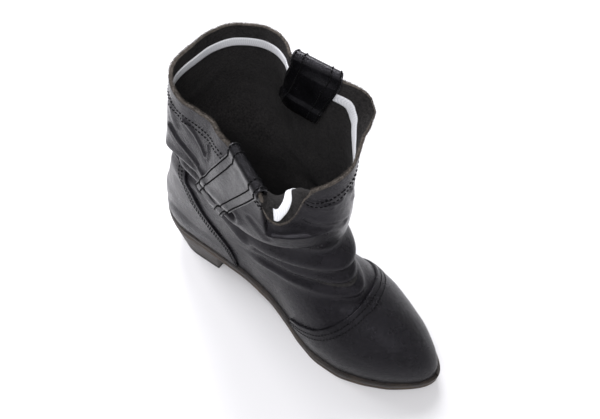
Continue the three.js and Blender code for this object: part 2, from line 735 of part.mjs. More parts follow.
// The strap's leaves follow the wall. Its roll is straight, between the two ends of the roll.
function pullStrap({ turn, leanOutside, leanInside }) {
  const { near, far } = strapProfile();
  const path = [...near, ...far.reverse()];
  const lean = { outside: leanOutside, inside: leanInside, roll: 0 };
  const placeAt = ({ leg, down, out }, across) => {
    const drop = Math.max(down, 0);
    const { point, normal } = shaftPlace(turn, across + lean[leg] * drop, drop);
    return point.addScaledVector(normal, out).add(new THREE.Vector3(0, 0, drop - down));
  };
  const steps = 5;
  const ends = path.map((place) => [-0.5, 0.5].map((side) => placeAt(place, side * STRAP_WIDTH)));
  const sections = Array.from({ length: steps + 1 }, (_, i) => path.map((place, j) => {
    const straight = ends[j][0].clone().lerp(ends[j][1], i / steps);
    return placeAt(place, STRAP_WIDTH * (i / steps - 0.5)).lerp(straight, clamp(1 - place.down / STRAP_STIFF, 0, 1));
  }));
  const wall = solidOf(wallBetween(GAP, -(LEATHER + 2 * GAP + TAPE)));
  const clear = wall.add(wall.translate([0, 0, GAP]));
  return geometryFrom(solidOf(stripSolid(sections)).subtract(clear));
}

// Sections of a folded strip: two faces of equal length, so each end cap is a row of quads
function stripSolid(sections) {
  const count = sections[0].length;
  const points = sections.flat();
  const triangles = [];
  for (let i = 0; i < sections.length - 1; i += 1) {
    for (let j = 0; j < count; j += 1) {
      const k = (j + 1) % count;
      const [a, b] = [i * count, (i + 1) * count];
      triangles.push([a + j, a + k, b + k], [a + j, b + k, b + j]);
    }
  }
  [0, sections.length - 1].forEach((end) => {
    for (let j = 0; j < count / 2 - 1; j += 1) {
      const quad = [j, j + 1, count - 2 - j, count - 1 - j].map((index) => end * count + index);
      const [a, b, c, d] = end ? quad : quad.toReversed();
      triangles.push([a, b, c], [a, c, d]);
    }
  });
  return geometryOf(points, triangles);
}

// Finishes
const blackLeather = { color: 0x1b1a1c, roughness: 0.42, metalness: 0 };
const vampLeather = { color: 0x161518, roughness: 0.35, metalness: 0 };
const edgeLeather = { color: 0x17130f, roughness: 0.55, metalness: 0 };
const soleLeather = { color: 0x2a1e15, roughness: 0.7, metalness: 0 };
const whiteTape = { color: 0xdfe3e8, roughness: 0.8, metalness: 0 };
const rubber = { color: 0x111111, roughness: 0.75, metalness: 0 };
const board = { color: 0x5f4a36, roughness: 0.85, metalness: 0 };

const boot = new THREE.Group();
boot.position.x = -HEEL_MIDDLE;

function add(name, geometry, finish) {
  const mesh = new THREE.Mesh(geometry, new THREE.MeshStandardMaterial(finish));
  mesh.name = name;
  boot.add(mesh);
}

add('upper', upper(), blackLeather);
add('vamp', vamp(), vampLeather);
add('counter', counter(), blackLeather);
add('collar_tape', collarTape(), whiteTape);
STRAPS.forEach((strap) => add(strap.name, pullStrap(strap), blackLeather));
add('insole', insole(), board);
add('welt', welt(), edgeLeather);
add('outsole', outsole(), soleLeather);

// The stacked heel: a cap on the floor, level lifts, and a seat shaped to the sole's underside
add('heel_cap', heelLayer(0, HEEL_CAP), rubber);
const seatBottom = SEAT * HEEL_HEIGHT;
const lifts = Math.max(1, Math.round((seatBottom - HEEL_CAP) / (LIFT + GAP)));
const pitch = (seatBottom - HEEL_CAP) / lifts;
for (let i = 0; i < lifts; i += 1) {
  const low = HEEL_CAP + i * pitch + GAP;
  add(`heel_lift_${i + 1}`, heelLayer(low, low + pitch - GAP), edgeLeather);
}
add('heel_seat', heelLayer(seatBottom + GAP, HEEL_HEIGHT, (x) => underside(x) - GAP), edgeLeather);

export default boot;
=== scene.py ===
"""A short black western boot for the right foot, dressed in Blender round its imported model.

Lengths are in millimetres until a mesh is made. Along the boot, x is counted from the heel's back.
"""

import math

import bpy
import numpy as np
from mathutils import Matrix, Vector
from mathutils.kdtree import KDTree


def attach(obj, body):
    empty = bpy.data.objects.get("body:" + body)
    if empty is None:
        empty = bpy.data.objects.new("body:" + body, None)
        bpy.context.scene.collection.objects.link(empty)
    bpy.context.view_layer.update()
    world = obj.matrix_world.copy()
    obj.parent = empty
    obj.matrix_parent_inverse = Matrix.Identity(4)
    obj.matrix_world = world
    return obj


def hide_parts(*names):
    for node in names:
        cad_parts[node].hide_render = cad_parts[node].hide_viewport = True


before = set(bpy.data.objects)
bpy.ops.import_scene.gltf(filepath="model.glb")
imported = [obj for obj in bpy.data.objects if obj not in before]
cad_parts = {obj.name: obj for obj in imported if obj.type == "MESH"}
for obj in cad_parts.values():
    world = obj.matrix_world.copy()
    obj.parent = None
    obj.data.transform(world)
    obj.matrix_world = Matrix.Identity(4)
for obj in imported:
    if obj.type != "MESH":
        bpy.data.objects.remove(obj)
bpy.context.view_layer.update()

# The last: the foot's form that the leather is pulled over
# Its sole rises to the heel and springs at the toe. The tables hold lengths as shares of the named sizes,
# with a row for each section, and a smooth curve is drawn through each column.
LENGTH = 290.0
BALL_WIDTH = 100.0
HEEL_HEIGHT = 36.0
TOE_SPRING = 9.0
VAMP_HEIGHT = 75.0
WELT_EDGE = 5.0
SEAT_EDGE = 2.5
STACK = 9.1
HEEL_MIDDLE = 0.11 * LENGTH
SPINE = 0.386 * LENGTH
HEEL_ROUND = 0.155
TOE_ROUND = 0.12
SOLE = [  # along, inner, outer, rise, spring
    [0.00, 0.33, 0.33, 1.000, 0.0],
    [0.12, 0.33, 0.33, 0.985, 0.0],
    [0.22, 0.32, 0.325, 0.930, 0.0],
    [0.30, 0.275, 0.315, 0.820, 0.0],
    [0.38, 0.24, 0.30, 0.640, 0.0],
    [0.46, 0.26, 0.31, 0.400, 0.0],
    [0.54, 0.35, 0.36, 0.165, 0.0],
    [0.62, 0.445, 0.43, 0.000, 0.0],
    [0.69, 0.475, 0.47, 0.000, 0.0],
    [0.75, 0.465, 0.465, 0.000, 0.0],
    [0.82, 0.405, 0.415, 0.000, 0.15],
    [0.89, 0.315, 0.33, 0.000, 0.45],
    [0.95, 0.245, 0.26, 0.000, 0.75],
    [1.00, 0.205, 0.22, 0.000, 1.0],
]
FOOT = [  # along, top
    [0.00, 0.83],
    [0.10, 1.10],
    [0.30, 1.45],
    [0.50, 1.45],
    [0.58, 1.25],
    [0.66, 1.07],
    [0.72, 0.95],
    [0.80, 0.80],
    [0.88, 0.68],
    [0.94, 0.61],
    [1.00, 0.56],
]


def curve(xs, ys, turn=0.0):
    """A cubic through a table's points whose slopes are harmonic means, so it never overshoots them."""
    first = xs[0]
    if turn:
        xs = np.concatenate([xs[-2:] - turn, xs, xs[:2] + turn])
        ys = np.concatenate([ys[-2:], ys, ys[:2]])
    steps = np.diff(ys) / np.diff(xs)
    product = steps[:-1] * steps[1:]
    total = np.where(product > 0, steps[:-1] + steps[1:], 1.0)
    slopes = np.concatenate([steps[:1], np.where(product > 0, 2 * product / total, 0.0), steps[-1:]])

    def at(x):
        x = first + np.mod(x - first, turn) if turn else np.clip(x, xs[0], xs[-1])
        i = np.clip(np.searchsorted(xs, x, side="right") - 1, 0, len(xs) - 2)
        width = xs[i + 1] - xs[i]
        s = (x - xs[i]) / width
        start = (1 + 2 * s) * (1 - s) ** 2 * ys[i] + s * (1 - s) ** 2 * width * slopes[i]
        return start + s * s * (3 - 2 * s) * ys[i + 1] + s * s * (s - 1) * width * slopes[i + 1]

    return at


def curves(rows, turn=0.0):
    """One curve for each column of a table after the first, which they all run along."""
    columns = np.array(rows, float).T
    return [curve(columns[0], column, turn) for column in columns[1:]]


def smoothstep(value, low, high):
    """0 below low, 1 above high, and a cubic ease between them."""
    share = np.clip((value - low) / (high - low), 0, 1)
    return share * share * (3 - 2 * share)


def mix(a, b, share):
    """A straight blend from a to b."""
    return a + (b - a) * share


sole_inner, sole_outer, sole_rise, sole_spring = curves(SOLE)
(foot_top,) = curves(FOOT)


def sole_half(x, side):
    """Half width of the sole: a table's share of the ball width, rounded by a circle at each end."""
    along = x / LENGTH
    heel = np.clip(1 - along / HEEL_ROUND, 0, 1)
    toe = np.clip((along - 1 + TOE_ROUND) / TOE_ROUND, 0, 1)
    ends = np.sqrt(1 - heel * heel) * np.sqrt(1 - toe * toe)
    width = np.where(side > 0, sole_inner(along), sole_outer(along))
    return np.where((along > 0) & (along < 1), BALL_WIDTH * width * ends, 0.0)


def foot_half(x, side):
    """Half width at the feather line: the sole's, moved in by the welt's edge."""
    inside = (x - SEAT_EDGE) / (LENGTH - SEAT_EDGE - WELT_EDGE)
    return sole_half(inside * LENGTH, side) * (1 - 2 * WELT_EDGE / BALL_WIDTH)


def underside(x):
    """Height of the sole's underside: the heel's rise and the toe's spring."""
    return HEEL_HEIGHT * sole_rise(x / LENGTH) + TOE_SPRING * sole_spring(x / LENGTH)


def feather(x):
    """Height of the feather line, where the upper meets the welt."""
    return underside(x) + STACK


def in_foot(x, y, z):
    """Whether points lie under the arch of the foot, which is fuller low down."""
    base = feather(x)
    along = (x - SEAT_EDGE) / (LENGTH - SEAT_EDGE - WELT_EDGE)
    toe = np.clip((along - 1 + TOE_ROUND) / TOE_ROUND, 0, 1)
    top = base + (VAMP_HEIGHT * foot_top(along) - base) * np.sqrt(1 - toe * toe)
    up = np.clip((z - base) / np.where(top > base, top - base, 1), 0, 1)
    half = foot_half(x, y) * (1 + 0.07 * np.sin(np.pi * up)) * np.sqrt(1 - up**2.3)
    return (along > 0) & (along < 1) & (z < top) & (np.abs(y) < half)


# The upper: vamp, quarters and shaft in one black hide, 2.2 mm thick and unlined
# It is closed by side seams, cut raw at the collar, and its soft shaft has slumped into a roll and folds.
# Outside it is smooth and half glossy, inside the bare suede shows.
SHAFT_HEIGHT = 247.0
ANKLE_WIDTH = 76.0
COLLAR_LENGTH = 148.0
COLLAR_WIDTH = 108.0
LEATHER = 2.2
INSTEP_HOLLOW = 13.0
FOLD_DEPTH = 8.0
LIP = 34.0
LIP_START = 0.3
LIP_STEEP = 3.5
LIP_ROLL = 0.14
HALVINGS = 24
SHAFT = [  # up, back, widest, front, inner, outer, square
    [0.18, 0.012, 0.20, 0.59, 0.37, 0.36, 2.1],
    [0.24, 0.006, 0.21, 0.67, 0.39, 0.38, 2.1],
    [0.30, 0.014, 0.24, 0.71, 0.42, 0.39, 2.1],
    [0.36, 0.034, 0.27, 0.68, 0.44, 0.40, 2.1],
    [0.43, 0.054, 0.30, 0.655, 0.46, 0.41, 2.1],
    [0.50, 0.072, 0.34, 0.640, 0.48, 0.41, 2.1],
    [0.56, 0.088, 0.38, 0.636, 0.50, 0.40, 2.1],
    [0.61, 0.098, 0.41, 0.636, 0.52, 0.41, 2.0],
    [0.67, 0.103, 0.43, 0.640, 0.54, 0.50, 2.0],
]
COLLAR = [  # turn, reach, up, lip
    [2, 0.930, 0.836, 0.02],
    [9, 0.969, 0.848, 0.05],
    [17, 0.995, 0.865, 0.12],
    [24, 1.033, 0.879, 0.22],
    [29, 1.090, 0.885, 0.30],
    [34, 1.145, 0.892, 0.36],
    [39, 1.196, 0.903, 0.40],
    [44, 1.200, 0.920, 0.38],
    [47, 1.155, 0.938, 0.28],
    [50, 1.060, 0.953, 0.16],
    [54, 0.930, 0.966, 0.05],
    [60, 0.855, 0.974, 0],
    [68, 0.811, 0.975, 0],
    [80, 0.785, 0.975, 0],
    [94, 0.779, 0.973, 0],
    [105, 0.942, 0.970, 0],
    [115, 1.085, 0.964, 0],
    [128, 1.201, 0.951, 0],
    [141, 1.216, 0.943, 0],
    [155, 1.138, 0.935, 0],
    [169, 1.034, 0.927, 0],
    [183, 0.989, 0.923, 0],
    [195, 0.908, 0.923, 0],
    [211, 0.767, 0.923, 0],
    [221, 0.640, 0.923, 0],
    [239, 0.560, 0.923, 0],
    [260, 0.623, 0.929, 0],
    [281, 0.673, 0.920, 0],
    [291, 0.765, 0.910, 0],
    [301, 0.876, 0.899, 0],
    [306, 0.960, 0.890, 0.03],
    [309, 1.050, 0.880, 0.12],
    [311, 1.160, 0.866, 0.50],
    [313, 1.220, 0.853, 1.00],
    [316, 1.230, 0.842, 1.00],
    [320, 1.192, 0.834, 0.94],
    [325, 1.100, 0.829, 0.85],
    [330, 0.985, 0.827, 0.70],
    [335, 0.900, 0.826, 0.54],
    [341, 0.862, 0.826, 0.38],
    [347, 0.866, 0.826, 0.22],
    [354, 0.890, 0.828, 0.08],
]
SLUMP = [  # turn, reach
    [0, 0.985],
    [15, 0.985],
    [35, 0.940],
    [50, 0.870],
    [88, 0.775],
    [104, 0.880],
    [120, 1.080],
    [135, 1.210],
    [150, 1.200],
    [166, 1.120],
    [180, 1.095],
    [190, 1.100],
    [199, 1.060],
    [206, 0.960],
    [214, 0.850],
    [228, 0.765],
    [245, 0.765],
    [262, 0.800],
    [282, 0.880],
    [297, 0.940],
    [315, 0.970],
    [340, 0.985],
]
FOLDS = [  # turn, up, round, tall, push, climb
    [215, 0.672, 75, 0.030, 0.15, 0.00],
    [228, 0.600, 72, 0.026, -0.90, 0.00],
    [120, 0.600, 55, 0.040, -0.35, 0.04],
    [100, 0.540, 60, 0.035, 0.45, 0.05],
    [252, 0.480, 34, 0.034, 0.45, -0.24],
    [345, 0.505, 70, 0.026, -0.50, 0.03],
    [10, 0.450, 80, 0.030, 0.85, 0.03],
    [350, 0.404, 75, 0.018, -0.40, 0.02],
    [15, 0.372, 60, 0.018, 0.45, 0.02],
    [345, 0.342, 65, 0.015, -0.35, 0.01],
    [355, 0.317, 62, 0.016, 0.45, 0.00],
]
RINGS = [  # back, reach, front, keep, rise
    [0.183, 1.000, 0.074, 1.00, 0],
    [0.210, 0.997, 0.098, 0.97, 0],
    [0.243, 0.986, 0.135, 0.88, 0],
    [0.275, 0.952, 0.175, 0.75, 0],
    [0.307, 0.890, 0.212, 0.60, 0],
    [0.336, 0.815, 0.245, 0.45, 0],
    [0.362, 0.750, 0.276, 0.30, 0],
    [0.384, 0.715, 0.303, 0.20, 0],
    [0.404, 0.700, 0.325, 0.12, 0],
    [0.424, 0.680, 0.350, 0.06, 0],
    [0.444, 0.665, 0.382, 0.03, 0],
    [0.466, 0.655, 0.418, 0.00, 0],
    [0.492, 0.650, 0.444, 0.00, 0],
    [0.516, 0.645, 0.470, 0.00, 0],
    [0.542, 0.630, 0.500, 0.00, 0],
    [0.568, 0.620, 0.532, 0.00, 0],
    [0.594, 0.610, 0.566, 0.00, 0],
    [0.620, 0.610, 0.600, 0.00, 0],
    [0.646, 0.610, 0.630, 0.00, 0],
    [0.672, 0.615, 0.660, 0.00, 0],
    [0.672, 0.615, 0.660, 0.00, 0.14],
    [0.672, 0.615, 0.660, 0.00, 0.28],
    [0.672, 0.615, 0.660, 0.00, 0.40],
    [0.672, 0.615, 0.660, 0.00, 0.52],
    [0.672, 0.615, 0.660, 0.00, 0.64],
    [0.672, 0.615, 0.660, 0.00, 0.76],
    [0.672, 0.615, 0.660, 0.00, 0.88],
    [0.672, 0.615, 0.660, 0.00, 1.00],
]
LAST_RING = len(RINGS) - 1
FIRST_RISE = sum(row[4] == 0 for row in RINGS) - 1
CREASES = [  # depth, width, then turn and height of each point along it
    [-1.2, 1.9, 201, 189, 205, 186, 209, 183, 217, 179, 224, 176, 234, 175, 244, 174],
    [0.6, 1.6, 203, 193, 208, 189, 213, 185, 220, 183, 228, 180],
    [-1.0, 1.9, 213, 212, 217, 209, 221, 206, 226, 202, 231, 199, 236, 195],
    [-0.9, 1.8, 240, 207, 242, 201, 241, 194],
    [-0.9, 2.6, 201, 213, 204, 204, 207, 198],
    [3.4, 3.6, 196, 150, 203, 158, 208, 161, 214, 162, 229, 164, 250, 165, 283, 168],
    [3.4, 6.0, 184, 124, 194, 131, 201, 136, 210, 141, 224, 146, 242, 150],
    [-1.2, 3.4, 186, 118, 192, 108, 196, 96],
    [-0.9, 3.0, 214, 130, 217, 114, 219, 100],
    [0.45, 1.3, 332, 196, 341, 191, 352, 188, 358, 187],
    [0.45, 1.2, 330, 201, 339, 196, 350, 193],
    [0.35, 1.1, 334, 191, 343, 187, 352, 184],
    [1.1, 2.4, 322, 176, 332, 173, 343, 170, 353, 164, 361, 158],
    [-0.9, 2.4, 368, 186, 371, 178, 372, 170],
    [0.7, 2.2, 300, 180, 306, 172, 312, 160],
    [-1.2, 3.0, 100, 186, 122, 178, 146, 182],
    [1.2, 2.8, 150, 196, 160, 184, 172, 180],
    [0.9, 2.6, 22, 178, 36, 171, 54, 172],
    [0.35, 0.8, 50, 210, 68, 163, 87, 122, 100, 102],
]

shaft_back, shaft_widest, shaft_front, shaft_inner, shaft_outer, shaft_square = curves(SHAFT)
collar_reach, collar_up, collar_lip = curves(COLLAR, 360.0)
(slump_reach,) = curves(SLUMP, 360.0)
numbered_rings = [[i, *row] for i, row in enumerate(RINGS)]
ring_back, ring_front_at, ring_front, ring_keep, ring_rise = curves(numbered_rings)


def in_shaft(x, y, z):
    """Whether points lie inside the shaft's level oval, longer to the front than to the back."""
    up = z / SHAFT_HEIGHT
    widest = LENGTH * shaft_widest(up)
    reach = np.where(x < widest, widest - LENGTH * shaft_back(up), LENGTH * shaft_front(up) - widest)
    half = ANKLE_WIDTH * np.where(y > 0, shaft_inner(up), shaft_outer(up))
    square = shaft_square(up)
    return np.abs((x - widest) / reach) ** square + np.abs(y / half) ** square < 1


def edge_distance(inside, away, height):
    """Distance from the spine to a form's edge in each direction, by halving, on sheets of given height."""
    low, high = np.full(away[0].shape, 0.01), np.full(away[0].shape, LENGTH)
    for _ in range(HALVINGS):
        middle = (low + high) / 2
        x = SPINE + middle * away[0]
        within = inside(x, middle * away[1], height(x))
        low, high = np.where(within, middle, low), np.where(within, high, middle)
    start = SPINE + 0.01 * away[0]
    return np.where(inside(start, 0.01 * away[1], height(start)), low, 0.0)


def fold_push(turn, up):
    """The slumped folds: soft ridges and hollows that climb as they run round the shaft."""
    push = 0.0
    for middle, height, round_, tall, depth, climb in FOLDS:
        away = np.mod(turn - middle + 540, 360) - 180
        level = (up - height - climb * away / 90) / tall
        push = push + depth * np.exp(-((away / round_) ** 4) - level**2)
    return FOLD_DEPTH * push


def upper_surface(u, row):
    """Outer face of the leather: u runs once round from the toe over the inner side, row up the rings.

    Each ring is cut from the larger of foot and shaft, softly joined, then drawn to the collar's edge.
    """
    share = row / LAST_RING
    around = 2 * np.pi * u
    long = mix(LENGTH, COLLAR_LENGTH, smoothstep(share, 0, 0.7)) / 2
    shift = (LENGTH / 2 - SPINE) * (1 - smoothstep(share, 0, 0.5))
    wide = mix(BALL_WIDTH, COLLAR_WIDTH, smoothstep(share, 0, 0.7)) / 2
    angle = np.arctan2(wide * np.sin(around), (long + shift * np.cos(around)) * np.cos(around))
    away = (np.cos(angle), np.sin(angle))
    turn = np.mod(np.degrees(angle), 360)

    back = SHAFT_HEIGHT * ring_back(row)
    slope = (SHAFT_HEIGHT * ring_front(row) - back) / (LENGTH * ring_front_at(row))
    sole_slope = (feather(LENGTH) - feather(0.0)) / LENGTH
    keep, rise, lift = ring_keep(row), ring_rise(row), np.clip(1 - row, 0, 1)
    top, lip = SHAFT_HEIGHT * collar_up(turn), collar_lip(turn)
    turned = np.minimum(2 * lip, 1)
    raised = mix(rise, 1 - (1 - rise) ** LIP_STEEP, turned)
    curl = np.clip((rise - LIP_START) / (1 - LIP_START), 0, 1)
    roll = LIP * lip * LIP_ROLL * np.sin(np.pi * curl)

    def height(x):
        base = feather(x)
        curved = back + slope * x + keep * (base - feather(0.0) - sole_slope * x)
        return mix(mix(np.maximum(curved, base), base, lift), top, raised) + roll

    foot = edge_distance(in_foot, away, height)
    shaft = edge_distance(in_shaft, away, height)
    soft = INSTEP_HOLLOW * smoothstep(away[0], -0.5, 0.6) + 1
    near = np.maximum(0, 1 - np.abs(foot - shaft) / soft)
    reach = mix(foot, np.maximum(foot, shaft) + soft * near * near / 4, smoothstep(row, 0, 2.5))
    oval = 1 / np.hypot(away[0] * 2 / COLLAR_LENGTH, away[1] * 2 / COLLAR_WIDTH)
    reach = mix(reach, slump_reach(turn) * oval, smoothstep(row, FIRST_RISE - 4.5, FIRST_RISE - 1.5))
    neck = collar_reach(turn) * oval - LIP * lip
    reach = mix(reach, neck, rise ** mix(1.3, 0.4, turned)) + LIP * lip * curl
    z = height(SPINE + reach * away[0])
    quiet = smoothstep(row, 3, 6) * (1 - smoothstep(rise, 0.4, 1))
    reach = reach + quiet * fold_push(turn, z / SHAFT_HEIGHT)
    return np.stack([SPINE + reach * away[0], reach * away[1], z], -1), turn


def unit(vectors):
    """The vectors at length one."""
    return vectors / np.maximum(np.linalg.norm(vectors, axis=-1, keepdims=True), 1e-9)


def normals_of(points):
    """Unit normals of a grid that closes round its columns, from each point's neighbours."""
    across = np.roll(points, -1, 1) - np.roll(points, 1, 1)
    return unit(np.cross(across, np.gradient(points, axis=0)))


def crease_push(turn, z):
    """Creases in the leather: a soft trough along each path, with a low ridge on either side."""
    push = np.zeros(turn.shape)
    for depth, width, *path in CREASES:
        path = np.array(path, float).reshape(-1, 2)
        nearest = np.full(turn.shape, 1e9)
        for a, b in zip(path[:-1], path[1:]):
            dx, dz = np.mod(turn - a[0] + 180, 360) - 180, z - a[1]
            step = b - a
            along = np.clip((dx * step[0] + dz * step[1]) / (step @ step), 0, 1)
            nearest = np.minimum(nearest, np.hypot(dx - along * step[0], dz - along * step[1]))
        push += depth * (0.4 * np.exp(-((nearest / width - 1.8) ** 2)) - np.exp(-((nearest / width) ** 2)))
    return push


COLUMNS = 420
SOFT_FROM = 10
rows_up = np.concatenate([np.linspace(0, SOFT_FROM, 40)[:-1], np.linspace(SOFT_FROM, LAST_RING, 126)])
grid_u, grid_row = np.meshgrid(np.arange(COLUMNS) / COLUMNS, rows_up)
skin, skin_turn = upper_surface(grid_u, grid_row)
shaft_only = smoothstep(grid_row, SOFT_FROM + 1, SOFT_FROM + 4)[..., None]
skin = skin + normals_of(skin) * shaft_only * crease_push(skin_turn, skin[..., 2])[..., None]
skin_normal = normals_of(skin)
skin_normal[0, :, 2] = 0
skin_normal[0] = unit(skin_normal[0])


def columns_at(u):
    """The columns of the skin before and after each place round it, and the share of the way between."""
    column = np.mod(u, 1) * COLUMNS
    before = np.floor(column).astype(int) % COLUMNS
    return before, (before + 1) % COLUMNS, column - np.floor(column)


def on_skin(u, row, out=0.0):
    """Points on the upper's outer face, moved out along its normals, between the grid's points."""
    u, row, out = np.broadcast_arrays(u, row, out)
    before, after, share = columns_at(u)
    level = np.interp(row, rows_up, np.arange(len(rows_up)))
    j = np.clip(np.floor(level).astype(int), 0, len(rows_up) - 2)

    def between(values):
        low = mix(values[j, before], values[j, after], share[..., None])
        high = mix(values[j + 1, before], values[j + 1, after], share[..., None])
        return mix(low, high, (level - j)[..., None])

    return between(skin) + unit(between(skin_normal)) * out[..., None]


def new_piece(name, points, faces, materials, smooth=True):
    """A piece from its points and faces. The points become metres in the boot's frame."""
    mesh = bpy.data.meshes.new(name)
    place = (points.reshape(-1, 3) - [HEEL_MIDDLE, 0, 0]) / 1000
    mesh.from_pydata(place.tolist(), [], faces)
    mesh.polygons.foreach_set("use_smooth", np.full(len(mesh.polygons), smooth))
    for material in materials:
        mesh.materials.append(material)
    piece = bpy.data.objects.new(name, mesh)
    bpy.context.scene.collection.objects.link(piece)
    return piece


def grid_faces(index):
    """The faces between neighbours in grids of point numbers, whose last axes are rows and columns."""
    corners = [index[..., :-1, :-1], index[..., :-1, 1:], index[..., 1:, 1:], index[..., 1:, :-1]]
    return np.stack(corners, -1)


def sheet_mesh(name, points, materials, faces_of=None, around=True, along=False, uv=None, caps=()):
    """A piece from a grid of points: around joins its columns into rings, along joins its rows.

    faces_of gives each row of faces its material, and caps are faces that close its ends.
    """
    rows, columns = points.shape[:2]
    index = np.arange(rows * columns).reshape(rows, columns)
    if around:
        index = np.concatenate([index, index[:, :1]], 1)
    if along:
        index = np.concatenate([index, index[:1]], 0)
    quads = grid_faces(index)
    piece = new_piece(name, points, quads.reshape(-1, 4).tolist() + list(caps), materials)
    mesh = piece.data
    if faces_of is not None:
        mesh.polygons.foreach_set("material_index", np.repeat(faces_of, quads.shape[1]).astype(np.int32))
    if uv is not None:
        layer = mesh.uv_layers.new(name="around")
        corners = np.zeros(len(mesh.loops), np.int32)
        mesh.loops.foreach_get("vertex_index", corners)
        layer.data.foreach_set("uv", uv.reshape(-1, 2)[corners].astype(np.float32).ravel())
    mesh.validate()
    return piece


def new_material(name, color, roughness, coat=0.0, sheen=0.0):
    """A surface with its plain values on the shader, and places on the object for its patterns."""
    material = bpy.data.materials.new(name)
    material.use_nodes = True
    shader = material.node_tree.nodes["Principled BSDF"]
    shader.inputs["Base Color"].default_value = (*color, 1)
    shader.inputs["Roughness"].default_value = roughness
    shader.inputs["Coat Weight"].default_value = coat
    shader.inputs["Sheen Weight"].default_value = sheen
    place = material.node_tree.nodes.new("ShaderNodeTexCoord")
    return material, shader, place.outputs["Object"]


def join(value, socket):
    """A link from a value to a socket in the same material."""
    value.id_data.links.new(value, socket)


def node_after(value, kind, socket):
    """A new node in a value's own material, with the value at one of its sockets."""
    node = value.id_data.nodes.new(kind)
    join(value, node.inputs[socket])
    return node


def noise_node(place, scale, detail=4.0, rough=0.55, output="Fac"):
    """A noise's value or colour, at a size given in patches for each metre."""
    node = node_after(place, "ShaderNodeTexNoise", "Vector")
    node.inputs["Scale"].default_value = scale
    node.inputs["Detail"].default_value = detail
    node.inputs["Roughness"].default_value = rough
    return node.outputs[output]


def spread(value, low, high, from_low=0.0, from_high=1.0):
    """A value carried from one range to another."""
    node = node_after(value, "ShaderNodeMapRange", "Value")
    for name, number in zip(("From Min", "From Max", "To Min", "To Max"), (from_low, from_high, low, high)):
        node.inputs[name].default_value = number
    return node.outputs["Result"]


def colour_blend(value, dark, light, low=0.3, high=0.7):
    """A colour that runs from dark to light with a value."""
    node = node_after(value, "ShaderNodeValToRGB", "Fac")
    node.color_ramp.elements[0].position = low
    node.color_ramp.elements[0].color = (*dark, 1)
    node.color_ramp.elements[1].position = high
    node.color_ramp.elements[1].color = (*light, 1)
    return node.outputs["Color"]


def bump_node(height, depth, before=None):
    """A bump of a depth in metres, on top of the one before it."""
    node = node_after(height, "ShaderNodeBump", "Height")
    node.inputs["Strength"].default_value = 1.0
    node.inputs["Distance"].default_value = depth
    if before is not None:
        join(before, node.inputs["Normal"])
    return node.outputs["Normal"]


def smooth_leather(name, dark, light, roughness, crackle, coat=0.03):
    """Black grain leather: fine pores, a net of crackle lines, and a finish that varies in patches."""
    material, shader, place = new_material(name, dark, roughness, coat)
    shader.inputs["Coat Roughness"].default_value = 0.2
    shader.inputs["Specular IOR Level"].default_value = 0.24
    shader.inputs["Specular Tint"].default_value = (0.93, 0.90, 1.0, 1.0)
    clouds = noise_node(place, 45, 5)
    join(colour_blend(clouds, dark, light), shader.inputs["Base Color"])
    finish = spread(clouds, roughness - 0.12, roughness + 0.08, 0.3, 0.7)
    join(finish, shader.inputs["Roughness"])
    shrink = node_after(noise_node(place, 260, 2, 0.5, "Color"), "ShaderNodeVectorMath", 0)
    shrink.operation = "SCALE"
    shrink.inputs["Scale"].default_value = 0.003
    warp = node_after(place, "ShaderNodeVectorMath", 0)
    warp.operation = "ADD"
    join(shrink.outputs["Vector"], warp.inputs[1])
    net = node_after(warp.outputs["Vector"], "ShaderNodeTexVoronoi", "Vector")
    net.feature = "DISTANCE_TO_EDGE"
    net.inputs["Scale"].default_value = 900
    cells = spread(net.outputs["Distance"], 0, 1, 0, 0.12)
    grain = bump_node(cells, crackle)
    soft = bump_node(noise_node(place, 210, 6, 0.6), 0.0005, grain)
    join(soft, shader.inputs["Normal"])
    return material


def suede(name, dark, light):
    """The flesh side of the hide: short nap in streaky patches, dull, with a soft sheen."""
    material, shader, place = new_material(name, dark, 0.95, sheen=0.06)
    shader.inputs["Sheen Roughness"].default_value = 0.6
    shader.inputs["Specular IOR Level"].default_value = 0.1
    nap = noise_node(place, 700, 6, 0.7)
    patches = noise_node(place, 38, 4, 0.6)
    both = node_after(spread(nap, -0.2, 0.8), "ShaderNodeMath", 0)
    both.operation = "ADD"
    join(spread(patches, 0, 0.4), both.inputs[1])
    join(colour_blend(both.outputs["Value"], dark, light), shader.inputs["Base Color"])
    join(bump_node(nap, 0.0016), shader.inputs["Normal"])
    return material


shaft_leather = smooth_leather("black_shaft_leather", (0.003, 0.0026, 0.0036), (0.008, 0.0072, 0.0092),
                               0.3, 0.00006, coat=0.05)
inside_suede = suede("grey_suede_inside", (0.002, 0.0018, 0.0019), (0.040, 0.037, 0.036))
raw_edge = suede("raw_cut_edge", (0.022, 0.018, 0.015), (0.20, 0.175, 0.15))

fine_from = len(rows_up) - 12
inner_rows = np.concatenate([np.arange(0, fine_from, 4), np.arange(fine_from, len(rows_up))])
edge_round = [(0.25, 0.5), (0.6, 0.75), (1.6, 0.75), (1.95, 0.5)]  # in from the outer face, rise
top_point, top_normal = skin[-1], skin_normal[-1]
top_away = unit(skin[-1] - skin[-4])
edge_waves = [(0.25, 830, 0), (0.22, 1410, 1), (0.3, 292, 2)]
ragged = sum(tall * np.sin(grid_u[0] * often + shift) for tall, often, shift in edge_waves)
edge_rings = [top_point - top_normal * inwards + top_away * (rise + ragged[:, None] * 0.6)
              for inwards, rise in edge_round]
inner_rings = (skin - skin_normal * LEATHER)[inner_rows][::-1]
upper_points = np.concatenate([skin, np.array(edge_rings), inner_rings])
face_rows = np.repeat([0, 1, 2], [len(skin) - 1, len(edge_rings) + 1, len(inner_rings)])
upper_materials = [shaft_leather, raw_edge, inside_suede]
upper = sheet_mesh("upper_leather", upper_points, upper_materials, face_rows, along=True)
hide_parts("upper")
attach(upper, "root")


